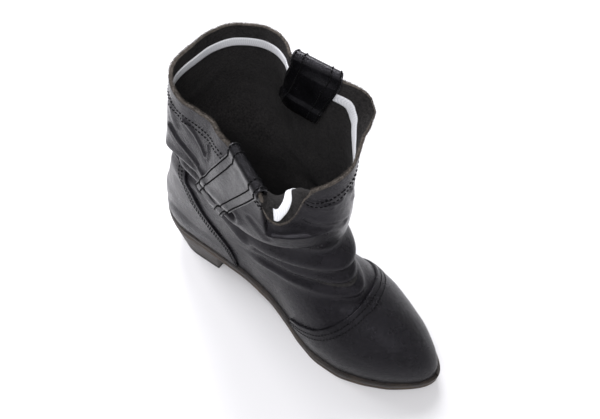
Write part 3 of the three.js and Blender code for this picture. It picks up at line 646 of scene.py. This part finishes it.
def loose_fibres(name, count, material):
    """Short fibres that stand out of the cut edge, each a narrow bent blade."""
    chance = np.random.default_rng(5)
    before, after, share = columns_at(chance.random(count))
    root, out, away = (mix(v[before], v[after], share[:, None]) for v in (top_point, top_normal, top_away))
    across = chance.random((count, 1)) * 1.1 - 0.05
    root = root - out * across * LEATHER + away * 0.55
    along = np.cross(out, away)
    lean_out, lean_along, curl = [chance.normal(0, most, (count, 1)) for most in (0.55, 0.75, 0.9)]
    aim = away * chance.uniform(0.15, 1, (count, 1)) + out * (lean_out + 0.9 - 1.8 * across)
    aim = unit(aim + along * lean_along)
    size = chance.uniform(0.4, 1.7, (count, 1))
    bend = along * curl * size * 0.35
    width = along * 0.07 + away * 0.03
    knee = root + aim * size * 0.6 + bend * 0.3
    tip = root + aim * size + bend
    blade = np.stack([root - width, root + width, knee + width * 0.7, knee - width * 0.7, tip], 1)
    index = np.arange(count)[:, None] * 5
    quads, tips = (index + [0, 1, 2, 3]).tolist(), (index + [3, 2, 4]).tolist()
    piece = new_piece(name, blade, quads + tips, [material], smooth=False)
    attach(piece, "root")


loose_fibres("cut_edge_fibres", 18000, raw_edge)

# The vamp and the counter: two more pieces of the same hide lapped over the foot and stitched down
# The vamp's throat lies on the instep and its rear edges sweep down to the sole. The counter stands up
# behind the heel. Each has a cut edge of its own thickness.
OVERLAY = 1.6
GAP = 0.3
VAMP_EDGE = [  # along, up
    [0.735, 0.420],
    [0.735, 0.290],
    [0.715, 0.250],
    [0.670, 0.200],
    [0.610, 0.150],
    [0.560, 0.100],
    [0.540, 0.000],
]
COUNTER_EDGE = [  # along, up
    [0.345, 0.000],
    [0.343, 0.170],
    [0.322, 0.260],
    [0.282, 0.345],
    [0.224, 0.450],
    [0.168, 0.535],
    [0.115, 0.573],
    [0.050, 0.590],
    [-0.10, 0.590],
]


def length_along(points):
    """Length along lines of points, counted from the first row."""
    steps = np.linalg.norm(np.diff(points, axis=0), axis=-1)
    return np.concatenate([0 * steps[:1], np.cumsum(steps, axis=0)])


def side_curve(edge):
    """A smooth side outline through a few points, by a cubic in the length along them."""
    points = np.array(edge) * [LENGTH, SHAFT_HEIGHT]
    along = length_along(points)
    at = np.linspace(0, along[-1], 160)
    return np.stack([curve(along, points[:, 0])(at), curve(along, points[:, 1])(at)], -1)


def rows_inside(edge, ahead):
    """For each column of the skin, how many rows up the overlay reaches before it crosses its edge."""
    line = side_curve(edge)
    order = np.argsort(line[:, 1])
    limit = np.interp(skin[..., 2], line[order, 1], line[order, 0])
    beyond = (skin[..., 0] - limit) * (1 if ahead else -1)
    if not ahead:
        beyond = np.minimum(beyond, line[:, 1].max() - skin[..., 2])
    outside = beyond < 0
    first = np.where(outside.any(0), outside.argmax(0), len(rows_up) - 1)
    below = np.maximum(first - 1, 0)
    column = np.arange(COLUMNS)
    a, b = beyond[below, column], beyond[first, column]
    share = np.where(first > 0, a / np.where(a - b > 1e-9, a - b, 1), 0)
    return mix(rows_up[below], rows_up[first], np.clip(share, 0, 1)) * (first > 0)


def overlay(name, edge, ahead, material, levels):
    """An overlay: the skin moved out by its thickness up to its edge, where it turns down to the skin."""
    top = rows_inside(edge, ahead)
    inside = np.flatnonzero(top > 0)
    start = inside[0] if not ahead else inside[np.argmax(np.diff(inside) > 1) + 1] - COLUMNS
    count = len(inside)
    columns = start + np.arange(count)
    u, limit = columns / COLUMNS, top[columns % COLUMNS]
    share = np.linspace(0, 1, levels)[:, None] ** 0.8
    face = on_skin(u, share * limit, GAP + OVERLAY)
    edges = [on_skin(u, limit + 0.02, out) for out in (GAP + OVERLAY - 0.5, 0.4, -0.3)]
    points = np.concatenate([face, np.array(edges)])
    piece = sheet_mesh(name, points, [material], around=False)
    return piece, u, limit


vamp_leather = smooth_leather("black_vamp_leather", (0.003, 0.0028, 0.0035), (0.008, 0.0075, 0.009),
                              0.3, 0.0001)
vamp, vamp_u, vamp_limit = overlay("vamp_leather_over_toe", VAMP_EDGE, True, vamp_leather, 90)
counter, counter_u, counter_limit = overlay("counter_leather", COUNTER_EDGE, False, shaft_leather, 90)
for piece, node, slot in ((vamp, "vamp", "vamp_leather"), (counter, "counter", "shaft_leather")):
    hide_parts(node)
    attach(piece, "root")

# The collar tape: white ribbed woven tape, stitched round the inside a finger's width below the raw edge
# It is one band, and its two ends are hidden at the outer pull strap.
TAPE_WIDTH = 7.0
TAPE = 0.8
TAPE_DROP = 11.0
TAPE_PULL = 10.0
TAPE_START = 315.0
TAPE_END = 291.0
TAPE_STEPS = 900
TAPE_RIBS = 96
RIB_SLANT = 0.45
descent = np.linspace(LAST_RING, 1, 261)
down_edge = length_along(upper_surface(*np.meshgrid(np.arange(COLUMNS) / COLUMNS, descent))[0])


def row_below(u, down):
    """Row at a distance down the leather from the collar's edge."""
    u, down = np.broadcast_arrays(u, down)
    before, after, share = columns_at(u)

    def length_to(step):
        return mix(down_edge[step, before], down_edge[step, after], share)

    low, high = np.zeros(u.shape, int), np.full(u.shape, len(descent) - 2)
    for _ in range(len(descent).bit_length()):
        middle = (low + high + 1) // 2
        above = length_to(middle) <= down
        low, high = np.where(above, middle, low), np.where(above, high, middle - 1)
    start, end = length_to(low), length_to(low + 1)
    return mix(descent[low], descent[low + 1], (down - start) / (end - start))


def column_at(turn):
    """Column that leaves the spine in a direction at the collar."""
    angle = np.radians(turn)
    return np.mod(np.arctan2(np.sin(angle) / COLLAR_WIDTH, np.cos(angle) / COLLAR_LENGTH) / (2 * np.pi), 1)


def woven_tape(name, color, painted_groove_shade):
    """Woven tape: slanted ribs across it in two directions that meet in the middle, in dull white yarn, with
    painted shade in the grooves between the ribs.
    """
    material, shader, _ = new_material(name, color, 0.75, sheen=0.3)
    around = material.node_tree.nodes.new("ShaderNodeUVMap")
    around.uv_map = "around"
    ribs = node_after(around.outputs["UV"], "ShaderNodeTexWave", "Vector")
    ribs.inputs["Scale"].default_value = 1.0
    ribs.inputs["Distortion"].default_value = 0.6
    # The colour runs down to a painted shade in the low grooves between the ribs, where the bump is lowest.
    yarn_and_groove_shade = colour_blend(ribs.outputs["Fac"], painted_groove_shade, color, 0.1, 0.6)
    join(yarn_and_groove_shade, shader.inputs["Base Color"])
    join(bump_node(ribs.outputs["Fac"], 0.00015), shader.inputs["Normal"])
    return material


tape_u = np.linspace(column_at(TAPE_START) - 1, column_at(TAPE_END), TAPE_STEPS)
edge_place = on_skin(tape_u, LAST_RING)
edge_turn = np.degrees(np.arctan2(edge_place[:, 1], edge_place[:, 0] - SPINE))
tape_pull = TAPE_PULL * collar_lip(np.mod(edge_turn, 360)) ** 5
tape_section = [  # share of the width, depth
    (0.00, 0.15),
    (0.00, TAPE),
    (0.14, TAPE + 0.25),
    (0.50, TAPE),
    (0.86, TAPE + 0.25),
    (1.00, TAPE),
    (1.00, 0.15),
]
tape_points = np.array([
    on_skin(tape_u, row_below(tape_u, TAPE_DROP - tape_pull + TAPE_WIDTH * share), -(LEATHER + depth))
    for share, depth in tape_section])
tape_share = np.array([share for share, _ in tape_section])[:, None]
rib_place = tape_u * TAPE_RIBS + np.abs(tape_share - 0.5) * RIB_SLANT
tape_uv = np.stack(np.broadcast_arrays(rib_place, tape_share), -1)
# The second colour is the painted shade in the tape's rib grooves; the yarn itself is the first.
white_tape = woven_tape("white_woven_tape", (0.90, 0.91, 0.93), (0.78, 0.80, 0.83))
tape = sheet_mesh("woven_collar_tape", tape_points, [white_tape], around=False, along=True, uv=tape_uv)
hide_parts("collar_tape")
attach(tape, "root")

# The two pull straps: strips of glossy leather folded over the raw edge into a soft roll
# The outer leaf lies on the shaft, the inner leaf ends in a hem that is doubled back. Two rows of stitches
# run along each side edge.
STRAP_WIDTH = 36.0
STRAP_LEATHER = 2.0
STRAP_OUTSIDE = 74.0
STRAP_INSIDE = 45.0
STRAP_HEM = 10.0
STRAP_STIFF = 12.0
STRAP_ROLL = 3.4
STRAP_LIFT = 3.0
TAUT = 0.9
SETTLINGS = 8
OUTER_STEPS = 34
ROLL_STEPS = 20
INNER_STEPS = 20
HEM_STEPS = 9
STRAPS = [  # name, turn, lean of the outer leaf, lean of the inner leaf
    ["pull_strap_inner_side", 68, 0.25, 0.29],
    ["pull_strap_outer_side", 299, -0.60, -0.45],
]


def beside(turn, round_, down, out):
    """Points on the shaft at a distance round from a turn and down from the edge, moved out."""
    u = np.full(np.broadcast(round_, down).shape, column_at(turn))
    steps, small = 16, 0.001
    for _ in range(steps):
        row = row_below(u, down)
        speed = np.linalg.norm(on_skin(u + small, row) - on_skin(u, row), axis=-1) / small
        u = u + round_ / steps / speed
    return on_skin(u, row_below(u, down), out)


def strap_faces():
    """The strap's two faces in section: leg, drop and distance out along the outer leaf, roll and hem."""
    inside = LEATHER + GAP + TAPE + GAP
    middle = (GAP - inside) / 2
    outer = np.linspace(STRAP_OUTSIDE, 3, OUTER_STEPS)
    angle = np.linspace(0, np.pi, ROLL_STEPS)
    hem_top = STRAP_INSIDE - STRAP_HEM
    plain = np.linspace(3, hem_top - 0.8, INNER_STEPS)
    inner = np.concatenate([plain, np.linspace(hem_top, STRAP_INSIDE, HEM_STEPS)])
    thick = STRAP_LEATHER + smoothstep(inner, hem_top - 0.9, hem_top) * (STRAP_LEATHER + GAP)
    small, big = STRAP_ROLL - STRAP_LEATHER / 2, STRAP_ROLL + STRAP_LEATHER / 2
    leg = np.repeat([0, 1, 2], [OUTER_STEPS, ROLL_STEPS, len(inner)])
    near_down = np.concatenate([outer, -STRAP_LIFT - small * np.sin(angle), inner])
    far_down = np.concatenate([outer, -STRAP_LIFT - big * np.sin(angle), inner])
    near_out = np.concatenate([0 * outer + GAP, middle + small * np.cos(angle), 0 * inner - inside])
    far_out = np.concatenate([0 * outer + GAP + STRAP_LEATHER, middle + big * np.cos(angle), -inside - thick])
    return leg, near_down, near_out, far_down, far_out


def strap_grid(turn, lean_outside, lean_inside, across, face):
    """A strap's face: its section carried across its width, straight at the roll and on the wall below."""
    leg, near_down, near_out, far_down, far_out = strap_faces()
    down, out = mix(near_down, far_down, face)[:, None], mix(near_out, far_out, face)[:, None]
    drop = np.maximum(down, 0)
    lean = np.array([lean_outside, 0, lean_inside])[leg][:, None]
    lift = (drop - down)[..., None] * np.array([0, 0, 1.0])

    def place(round_):
        return beside(turn, round_ + lean * drop, drop + 0 * round_, out + 0 * round_) + lift

    ends = [place(np.array([[side * STRAP_WIDTH]])) for side in (-0.5, 0.5)]
    straight = mix(ends[0], ends[1], across[None, :, None] + 0.5)
    stiff = np.clip(1 - down / STRAP_STIFF, 0, 1)[..., None]
    return mix(place(across[None, :] * STRAP_WIDTH), straight, stiff)


wall_rows = np.flatnonzero(rows_up > SOFT_FROM + 2)
wall_points, wall_normals = skin[wall_rows].reshape(-1, 3), skin_normal[wall_rows].reshape(-1, 3)
wall = KDTree(len(wall_points))
for k, point in enumerate(wall_points):
    wall.insert(point, k)
wall.balance()


def held_off(points, gap, side):
    """Points pushed out, or in where side is -1, to at least a gap from the shaft's outer face."""
    flat = points.reshape(-1, 3).copy()
    nearest = np.array([wall.find(point)[1] for point in flat])
    normal = wall_normals[nearest] * side
    short = gap - ((flat - wall_points[nearest]) * normal).sum(1)
    return (flat + normal * np.maximum(short, 0)[:, None]).reshape(points.shape)


def drawn_taut(leaf, gap, side):
    """A leaf of a strap pulled straight between its two ends, and held off the wall."""
    share = np.linspace(0, 1, len(leaf))[:, None, None]
    pulled = mix(leaf, mix(leaf[:1], leaf[-1:], share), TAUT)
    for _ in range(SETTLINGS):
        pulled = held_off(pulled, gap, side)
        pulled[1:-1] = mix(pulled[1:-1], (pulled[:-2] + pulled[2:]) / 2, 0.6)
    return mix(held_off(pulled, gap, side), leaf, np.exp(-share * 60))


def end_caps(count, columns):
    """Faces that close a strap's two ends, across from its near face to its far one."""
    caps = []
    for end, flip in ((0, False), (columns - 1, True)):
        for j in range(count // 2 - 1):
            quad = [end * count + k for k in (j, j + 1, count - 2 - j, count - 1 - j)]
            caps.append(quad if flip else quad[::-1])
    return caps


strap_leather = smooth_leather("glossy_strap_leather", (0.003, 0.003, 0.0036), (0.009, 0.0088, 0.0102),
                               0.25, 0.00005, coat=0.3)
strap_across = np.concatenate([[-0.5, -0.49, -0.47], np.linspace(-0.44, 0.44, 34), [0.47, 0.49, 0.5]])
strap_thin = np.concatenate([[0.35, 0.8, 0.96], np.ones(34), [0.96, 0.8, 0.35]])
strap_outer_faces = {}
for name, turn, lean_outside, lean_inside in STRAPS:
    near, far = [strap_grid(turn, lean_outside, lean_inside, strap_across, face) for face in (0.0, 1.0)]
    thickness = far - near
    outer_leaf, inner_leaf = near[:OUTER_STEPS][::-1], near[OUTER_STEPS + ROLL_STEPS:]
    outer_leaf[:] = drawn_taut(outer_leaf, GAP, 1)
    inner_leaf[:] = drawn_taut(inner_leaf, LEATHER + TAPE + 2 * GAP, -1)
    far = near + thickness
    middle = (far + near) / 2
    slim = strap_thin[None, :, None]
    strap_outer_faces[name] = far
    loop = np.concatenate([mix(middle, near, slim), mix(middle, far, slim)[::-1]])
    caps = end_caps(len(loop), len(strap_across))
    strap = sheet_mesh(name + "_leather", loop.transpose(1, 0, 2), [strap_leather], caps=caps)
    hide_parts(name)
    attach(strap, "root")

# The insole, the welt and the sole: a leather board inside, a stitched strip round the foot, and a leather
# sole with its arch and toe spring. Their edges are rounded, dyed and waxed.
INSOLE = 5.0
OUTSOLE = 5.0


def closed_ends(points):
    """Rings of points with one more at each end, drawn together in its middle."""
    closing = points.mean(1, keepdims=True)[[0, -1]] + 0 * points[:1]
    return np.concatenate([closing[:1], points, closing[1:]])


def plate(name, half, bottom, top, material, corner, steps=220):
    """A plate across the sole: sections at places along it, each a rounded box between two heights."""
    along = (1 - np.cos(np.pi * (np.arange(steps) + 0.5) / steps)) / 2
    x = LENGTH * along
    left, right = half(x, 1.0 + 0 * x), half(x, -1.0 + 0 * x)
    low, high = bottom(x), top(x)
    bend = np.linspace(0, np.pi / 2, 5)
    parts = []
    for side, wide in ((1, left), (-1, right)):
        edge = np.minimum(corner, wide * 0.5)
        flat = np.linspace(0, 1, 9)[None, :-1] * (wide - edge)[:, None]
        turned = wide[:, None] - edge[:, None] * (1 - np.sin(bend))
        drop = corner * (1 - np.cos(bend))
        y = np.concatenate([flat, turned], 1)
        z_top = np.concatenate([high[:, None] + 0 * flat, high[:, None] - drop], 1)
        z_low = np.concatenate([low[:, None] + 0 * flat, low[:, None] + drop], 1)
        parts.append((side * y, z_top, z_low))
    (yl, tl, bl), (yr, tr, br) = parts
    y = np.concatenate([yl, yl[:, ::-1], yr[:, 1:], yr[:, ::-1][:, :-1]], 1)
    z = np.concatenate([tl, bl[:, ::-1], br[:, 1:], tr[:, ::-1][:, :-1]], 1)
    points = np.stack([np.broadcast_to(x[:, None], y.shape), y, z], -1)
    return sheet_mesh(name, closed_ends(points), [material])


def edge_finish(name, dark, light, roughness):
    """Dyed and waxed leather edge: fine fibres pressed flat, scuffed lighter in places."""
    material, shader, place = new_material(name, dark, roughness)
    fibres = noise_node(place, 620, 6, 0.65)
    scuffs = noise_node(place, 70, 5, 0.7)
    join(colour_blend(scuffs, dark, light, 0.45, 0.75), shader.inputs["Base Color"])
    finish = spread(scuffs, roughness, roughness + 0.25, 0.4, 0.7)
    join(finish, shader.inputs["Roughness"])
    join(bump_node(fibres, 0.0004), shader.inputs["Normal"])
    return material


edge_leather = edge_finish("waxed_edge_leather", (0.016, 0.012, 0.010), (0.060, 0.045, 0.034), 0.42)
sole_leather = edge_finish("sole_leather", (0.030, 0.019, 0.012), (0.095, 0.066, 0.044), 0.55)
insole_leather = edge_finish("insole_leather", (0.10, 0.062, 0.036), (0.17, 0.115, 0.07), 0.75)
heel_rubber = edge_finish("heel_rubber", (0.014, 0.014, 0.014), (0.035, 0.034, 0.033), 0.7)


def insole_half(x, side):
    """Half width of the insole: the foot's, less the wall of the upper round it."""
    return np.maximum(foot_half(x, side) - LEATHER - GAP, 0)


def above_sole(rise):
    """A height above the sole's underside, all along it."""
    return lambda x: underside(x) + rise


outsole = plate("leather_outsole", sole_half, underside, above_sole(OUTSOLE), sole_leather, 1.2)
welt = plate("stitched_welt", sole_half, above_sole(OUTSOLE + GAP), above_sole(STACK - GAP),
             edge_leather, 0.9)
insole = plate("leather_insole", insole_half, above_sole(STACK - GAP), above_sole(OUTSOLE + GAP + INSOLE),
               insole_leather, 0.3)
for piece, node, slot in ((outsole, "outsole", "sole_leather"), (welt, "welt", "edge_leather"),
                          (insole, "insole", "insole_leather")):
    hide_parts(node)
    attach(piece, "root")

# The heel: leather lifts glued and pegged into a stack, trimmed to lean in, on a black rubber cap
# Its sides are waxed like the welt, and a fine groove shows where two lifts meet.
HEEL_CAP = 6.0
HEEL_UNDERCUT = 10.0
HEEL_BREAST = 78.0
BREAST_RAKE = 7.0
SEAT_BOTTOM = 0.82 * HEEL_HEIGHT
LIFT = 5.88
NO_GROOVE = 60.0
GROOVE_DEPTH = 0.012


def heel_form(name, low, high, material, groove, top=None):
    """The heel's outline at each height, leaning in towards the floor, with a groove at each lift."""
    heights = np.linspace(low, high, max(8, int((high - low) * 3)))
    share = (heights / HEEL_HEIGHT)[:, None]
    front, back = HEEL_BREAST - BREAST_RAKE * (1 - share), HEEL_UNDERCUT * (1 - share)
    steps = 60
    along = 1 - np.cos(np.pi / 2 * (np.arange(steps) + 0.5) / (steps - 0.5))
    x = mix(back, front, along)
    narrow = mix(0.86, 1, share)
    sides = [narrow * sole_half(HEEL_BREAST * along, side + 0 * along) * side for side in (1.0, -1.0)]
    lines = np.exp(-(((np.mod(heights - HEEL_CAP + groove / 2, groove) - groove / 2) / 0.35) ** 2))[:, None]
    xs = np.concatenate([x, x[:, ::-1]], 1)
    y = np.concatenate([sides[0], sides[1][:, ::-1]], 1) * (1 - GROOVE_DEPTH * lines)
    points = np.stack([xs, y, heights[:, None] + 0 * xs], -1)
    if top is not None:
        points[-1, :, 2] = top(points[-1, :, 0])
    return sheet_mesh(name, closed_ends(points), [material])


heel_stack = heel_form("stacked_heel", HEEL_CAP + GAP, SEAT_BOTTOM + 5, edge_leather, LIFT, above_sole(-GAP))
heel_cap = heel_form("rubber_heel_cap", 0.0, HEEL_CAP, heel_rubber, NO_GROOVE)
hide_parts("heel_lift_1", "heel_lift_2", "heel_lift_3", "heel_lift_4", "heel_seat")
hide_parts("heel_cap")
for piece, slot in ((heel_stack, "edge_leather"), (heel_cap, "heel_rubber")):
    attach(piece, "root")

# The stitching: black waxed thread, two rows each round the collar, along the straps and on the overlays
THREAD = 0.42
THREAD_PROUD = 0.1
COLLAR_ROWS = (12.2, 16.8)
OVERLAY_ROWS = (4.5, 9.0)
STRAP_ROWS = (1.6, 8.0)


def along_path(values, length, at):
    """Values given at each point of a path, read at lengths along it."""
    return np.stack([np.interp(at, length, column) for column in values.T], -1)


def stitch_rows(name, paths, outs, material, pitch=3.1, share=0.74, thread=THREAD):
    """Stitches as small spindles set end to end along paths of points, each lying on the leather."""
    turn, spindle = np.meshgrid(np.linspace(0, 2 * np.pi, 7)[:-1], np.linspace(-1, 1, 7))
    body = np.sqrt(np.maximum(1 - spindle**4, 0.0))
    shape = np.stack([spindle, body * np.cos(turn), body * np.sin(turn)], -1)
    stitches = []
    for path, out in zip(paths, outs):
        length = length_along(path)
        at = np.arange(pitch / 2, length[-1], pitch)
        ahead, behind = along_path(path, length, at + 0.3), along_path(path, length, at - 0.3)
        stitches.append([along_path(path, length, at), ahead - behind, along_path(out, length, at)])
    centre, along, normal = (np.concatenate(part) for part in zip(*stitches))
    along = unit(along)
    side = unit(np.cross(normal, along))
    normal = np.cross(along, side)
    half = pitch * share / 2
    points = (centre[:, None, None] + along[:, None, None] * shape[None, ..., :1] * half
              + side[:, None, None] * shape[None, ..., 1:2] * thread
              + normal[:, None, None] * (shape[None, ..., 2:] * thread + THREAD_PROUD))
    count, rings, around = points.shape[:3]
    index = np.arange(count * rings * around).reshape(count, rings, around)
    index = np.concatenate([index, index[..., :1]], 2)
    piece = new_piece(name, points, grid_faces(index).reshape(-1, 4).tolist(), [material])
    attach(piece, "root")


def skin_path(u, row, out):
    """A path on the skin with the leather's normals along it."""
    path = on_skin(u, row, out)
    return path, on_skin(u, row, out + 1) - path


black_thread, shader, place = new_material("black_waxed_thread", (0.003, 0.003, 0.0033), 0.95)
shader.inputs["Specular IOR Level"].default_value = 0.12
wax = noise_node(place, 900, 3)
waxed = colour_blend(wax, (0.002, 0.002, 0.0022), (0.006, 0.006, 0.0066))
join(waxed, shader.inputs["Base Color"])
collar_u = np.linspace(0, 1, 700)
collar_rows = [skin_path(collar_u, row_below(collar_u, down), 0.0) for down in COLLAR_ROWS]
stitch_rows("collar_stitches", *zip(*collar_rows), black_thread)

overlay_rows = []
for u, limit in ((vamp_u, vamp_limit), (counter_u, counter_limit)):
    edge = on_skin(u, limit)
    speed = np.linalg.norm(edge - on_skin(u, np.maximum(limit - 0.2, 0)), axis=-1) / 0.2
    for inset in OVERLAY_ROWS:
        row = limit - inset / np.maximum(speed, 1)
        keep = row > 0.15
        overlay_rows.append(skin_path(u[keep], row[keep], GAP + OVERLAY))
stitch_rows("overlay_stitches", *zip(*overlay_rows), black_thread)

strap_rows = []
for name, far in strap_outer_faces.items():
    normal = unit(np.cross(np.gradient(far, axis=1), np.gradient(far, axis=0)))
    insets = [-0.5 + inset / STRAP_WIDTH for inset in STRAP_ROWS]
    for across in (*insets, -insets[1], -insets[0]):
        at = np.interp(across, strap_across, np.arange(len(strap_across)))
        i, s = int(at), at - int(at)
        strap_rows.append((mix(far[:, i], far[:, i + 1], s), mix(normal[:, i], normal[:, i + 1], s)))
stitch_rows("strap_stitches", *zip(*strap_rows), black_thread, pitch=2.9, share=0.86, thread=0.6)

# The setting: a plain pale floor under soft studio light, seen as in the photograph from high in front
FLOOR = 3.0
FLOOR_CORNERS = [(-FLOOR, -FLOOR, 0), (FLOOR, -FLOOR, 0), (FLOOR, FLOOR, 0), (-FLOOR, FLOOR, 0)]
EYE = np.array([274.8, -212.8, 552.7])
AIM = np.array([95.6, 24.7, 90.7])
LENS = 39.5

floor_mesh = bpy.data.meshes.new("floor")
floor_mesh.from_pydata(FLOOR_CORNERS, [], [(0, 1, 2, 3)])
floor = bpy.data.objects.new("floor", floor_mesh)
bpy.context.scene.collection.objects.link(floor)
floor_white, shader, place = new_material("pale_floor", (0.86, 0.86, 0.86), 0.9)
patches = noise_node(place, 3, 2)
pale = colour_blend(patches, (0.85, 0.85, 0.85), (0.87, 0.87, 0.87))
join(pale, shader.inputs["Base Color"])
floor_mesh.materials.append(floor_white)


def soft_light(name, place, size, watts, aim=(0.1, 0.0, 0.1)):
    """A square softbox at a place, facing the boot."""
    light = bpy.data.lights.new(name, "AREA")
    light.shape, light.size, light.energy = "SQUARE", size, watts
    light.color = (0.965, 0.955, 1.0)
    holder = bpy.data.objects.new(name, light)
    holder.location = place
    holder.rotation_euler = (Vector(aim) - Vector(place)).to_track_quat("-Z", "Y").to_euler()
    bpy.context.scene.collection.objects.link(holder)


soft_light("softbox_behind", (-0.8, 1.0, 1.4), 0.8, 27)
soft_light("softbox_left", (-1.2, 0.1, 1.0), 0.7, 16, aim=(0.0, 0.0, 0.3))
soft_light("softbox_front", (0.6, -0.8, 1.7), 1.0, 21)
world = bpy.data.worlds.new("studio")
world.use_nodes = True
background = world.node_tree.nodes["Background"].inputs
background["Color"].default_value = (1, 1, 1, 1)
background["Strength"].default_value = 0.35
bpy.context.scene.world = world
bpy.context.scene.view_settings.view_transform = "Standard"

camera_data = bpy.data.cameras.new("camera")
camera_data.lens, camera_data.sensor_width = LENS, 36.0
camera = bpy.data.objects.new("camera", camera_data)
camera.location = EYE / 1000
camera.rotation_euler = Vector((AIM - EYE) / 1000).to_track_quat("-Z", "Y").to_euler()
bpy.context.scene.collection.objects.link(camera)
bpy.context.scene.camera = camera
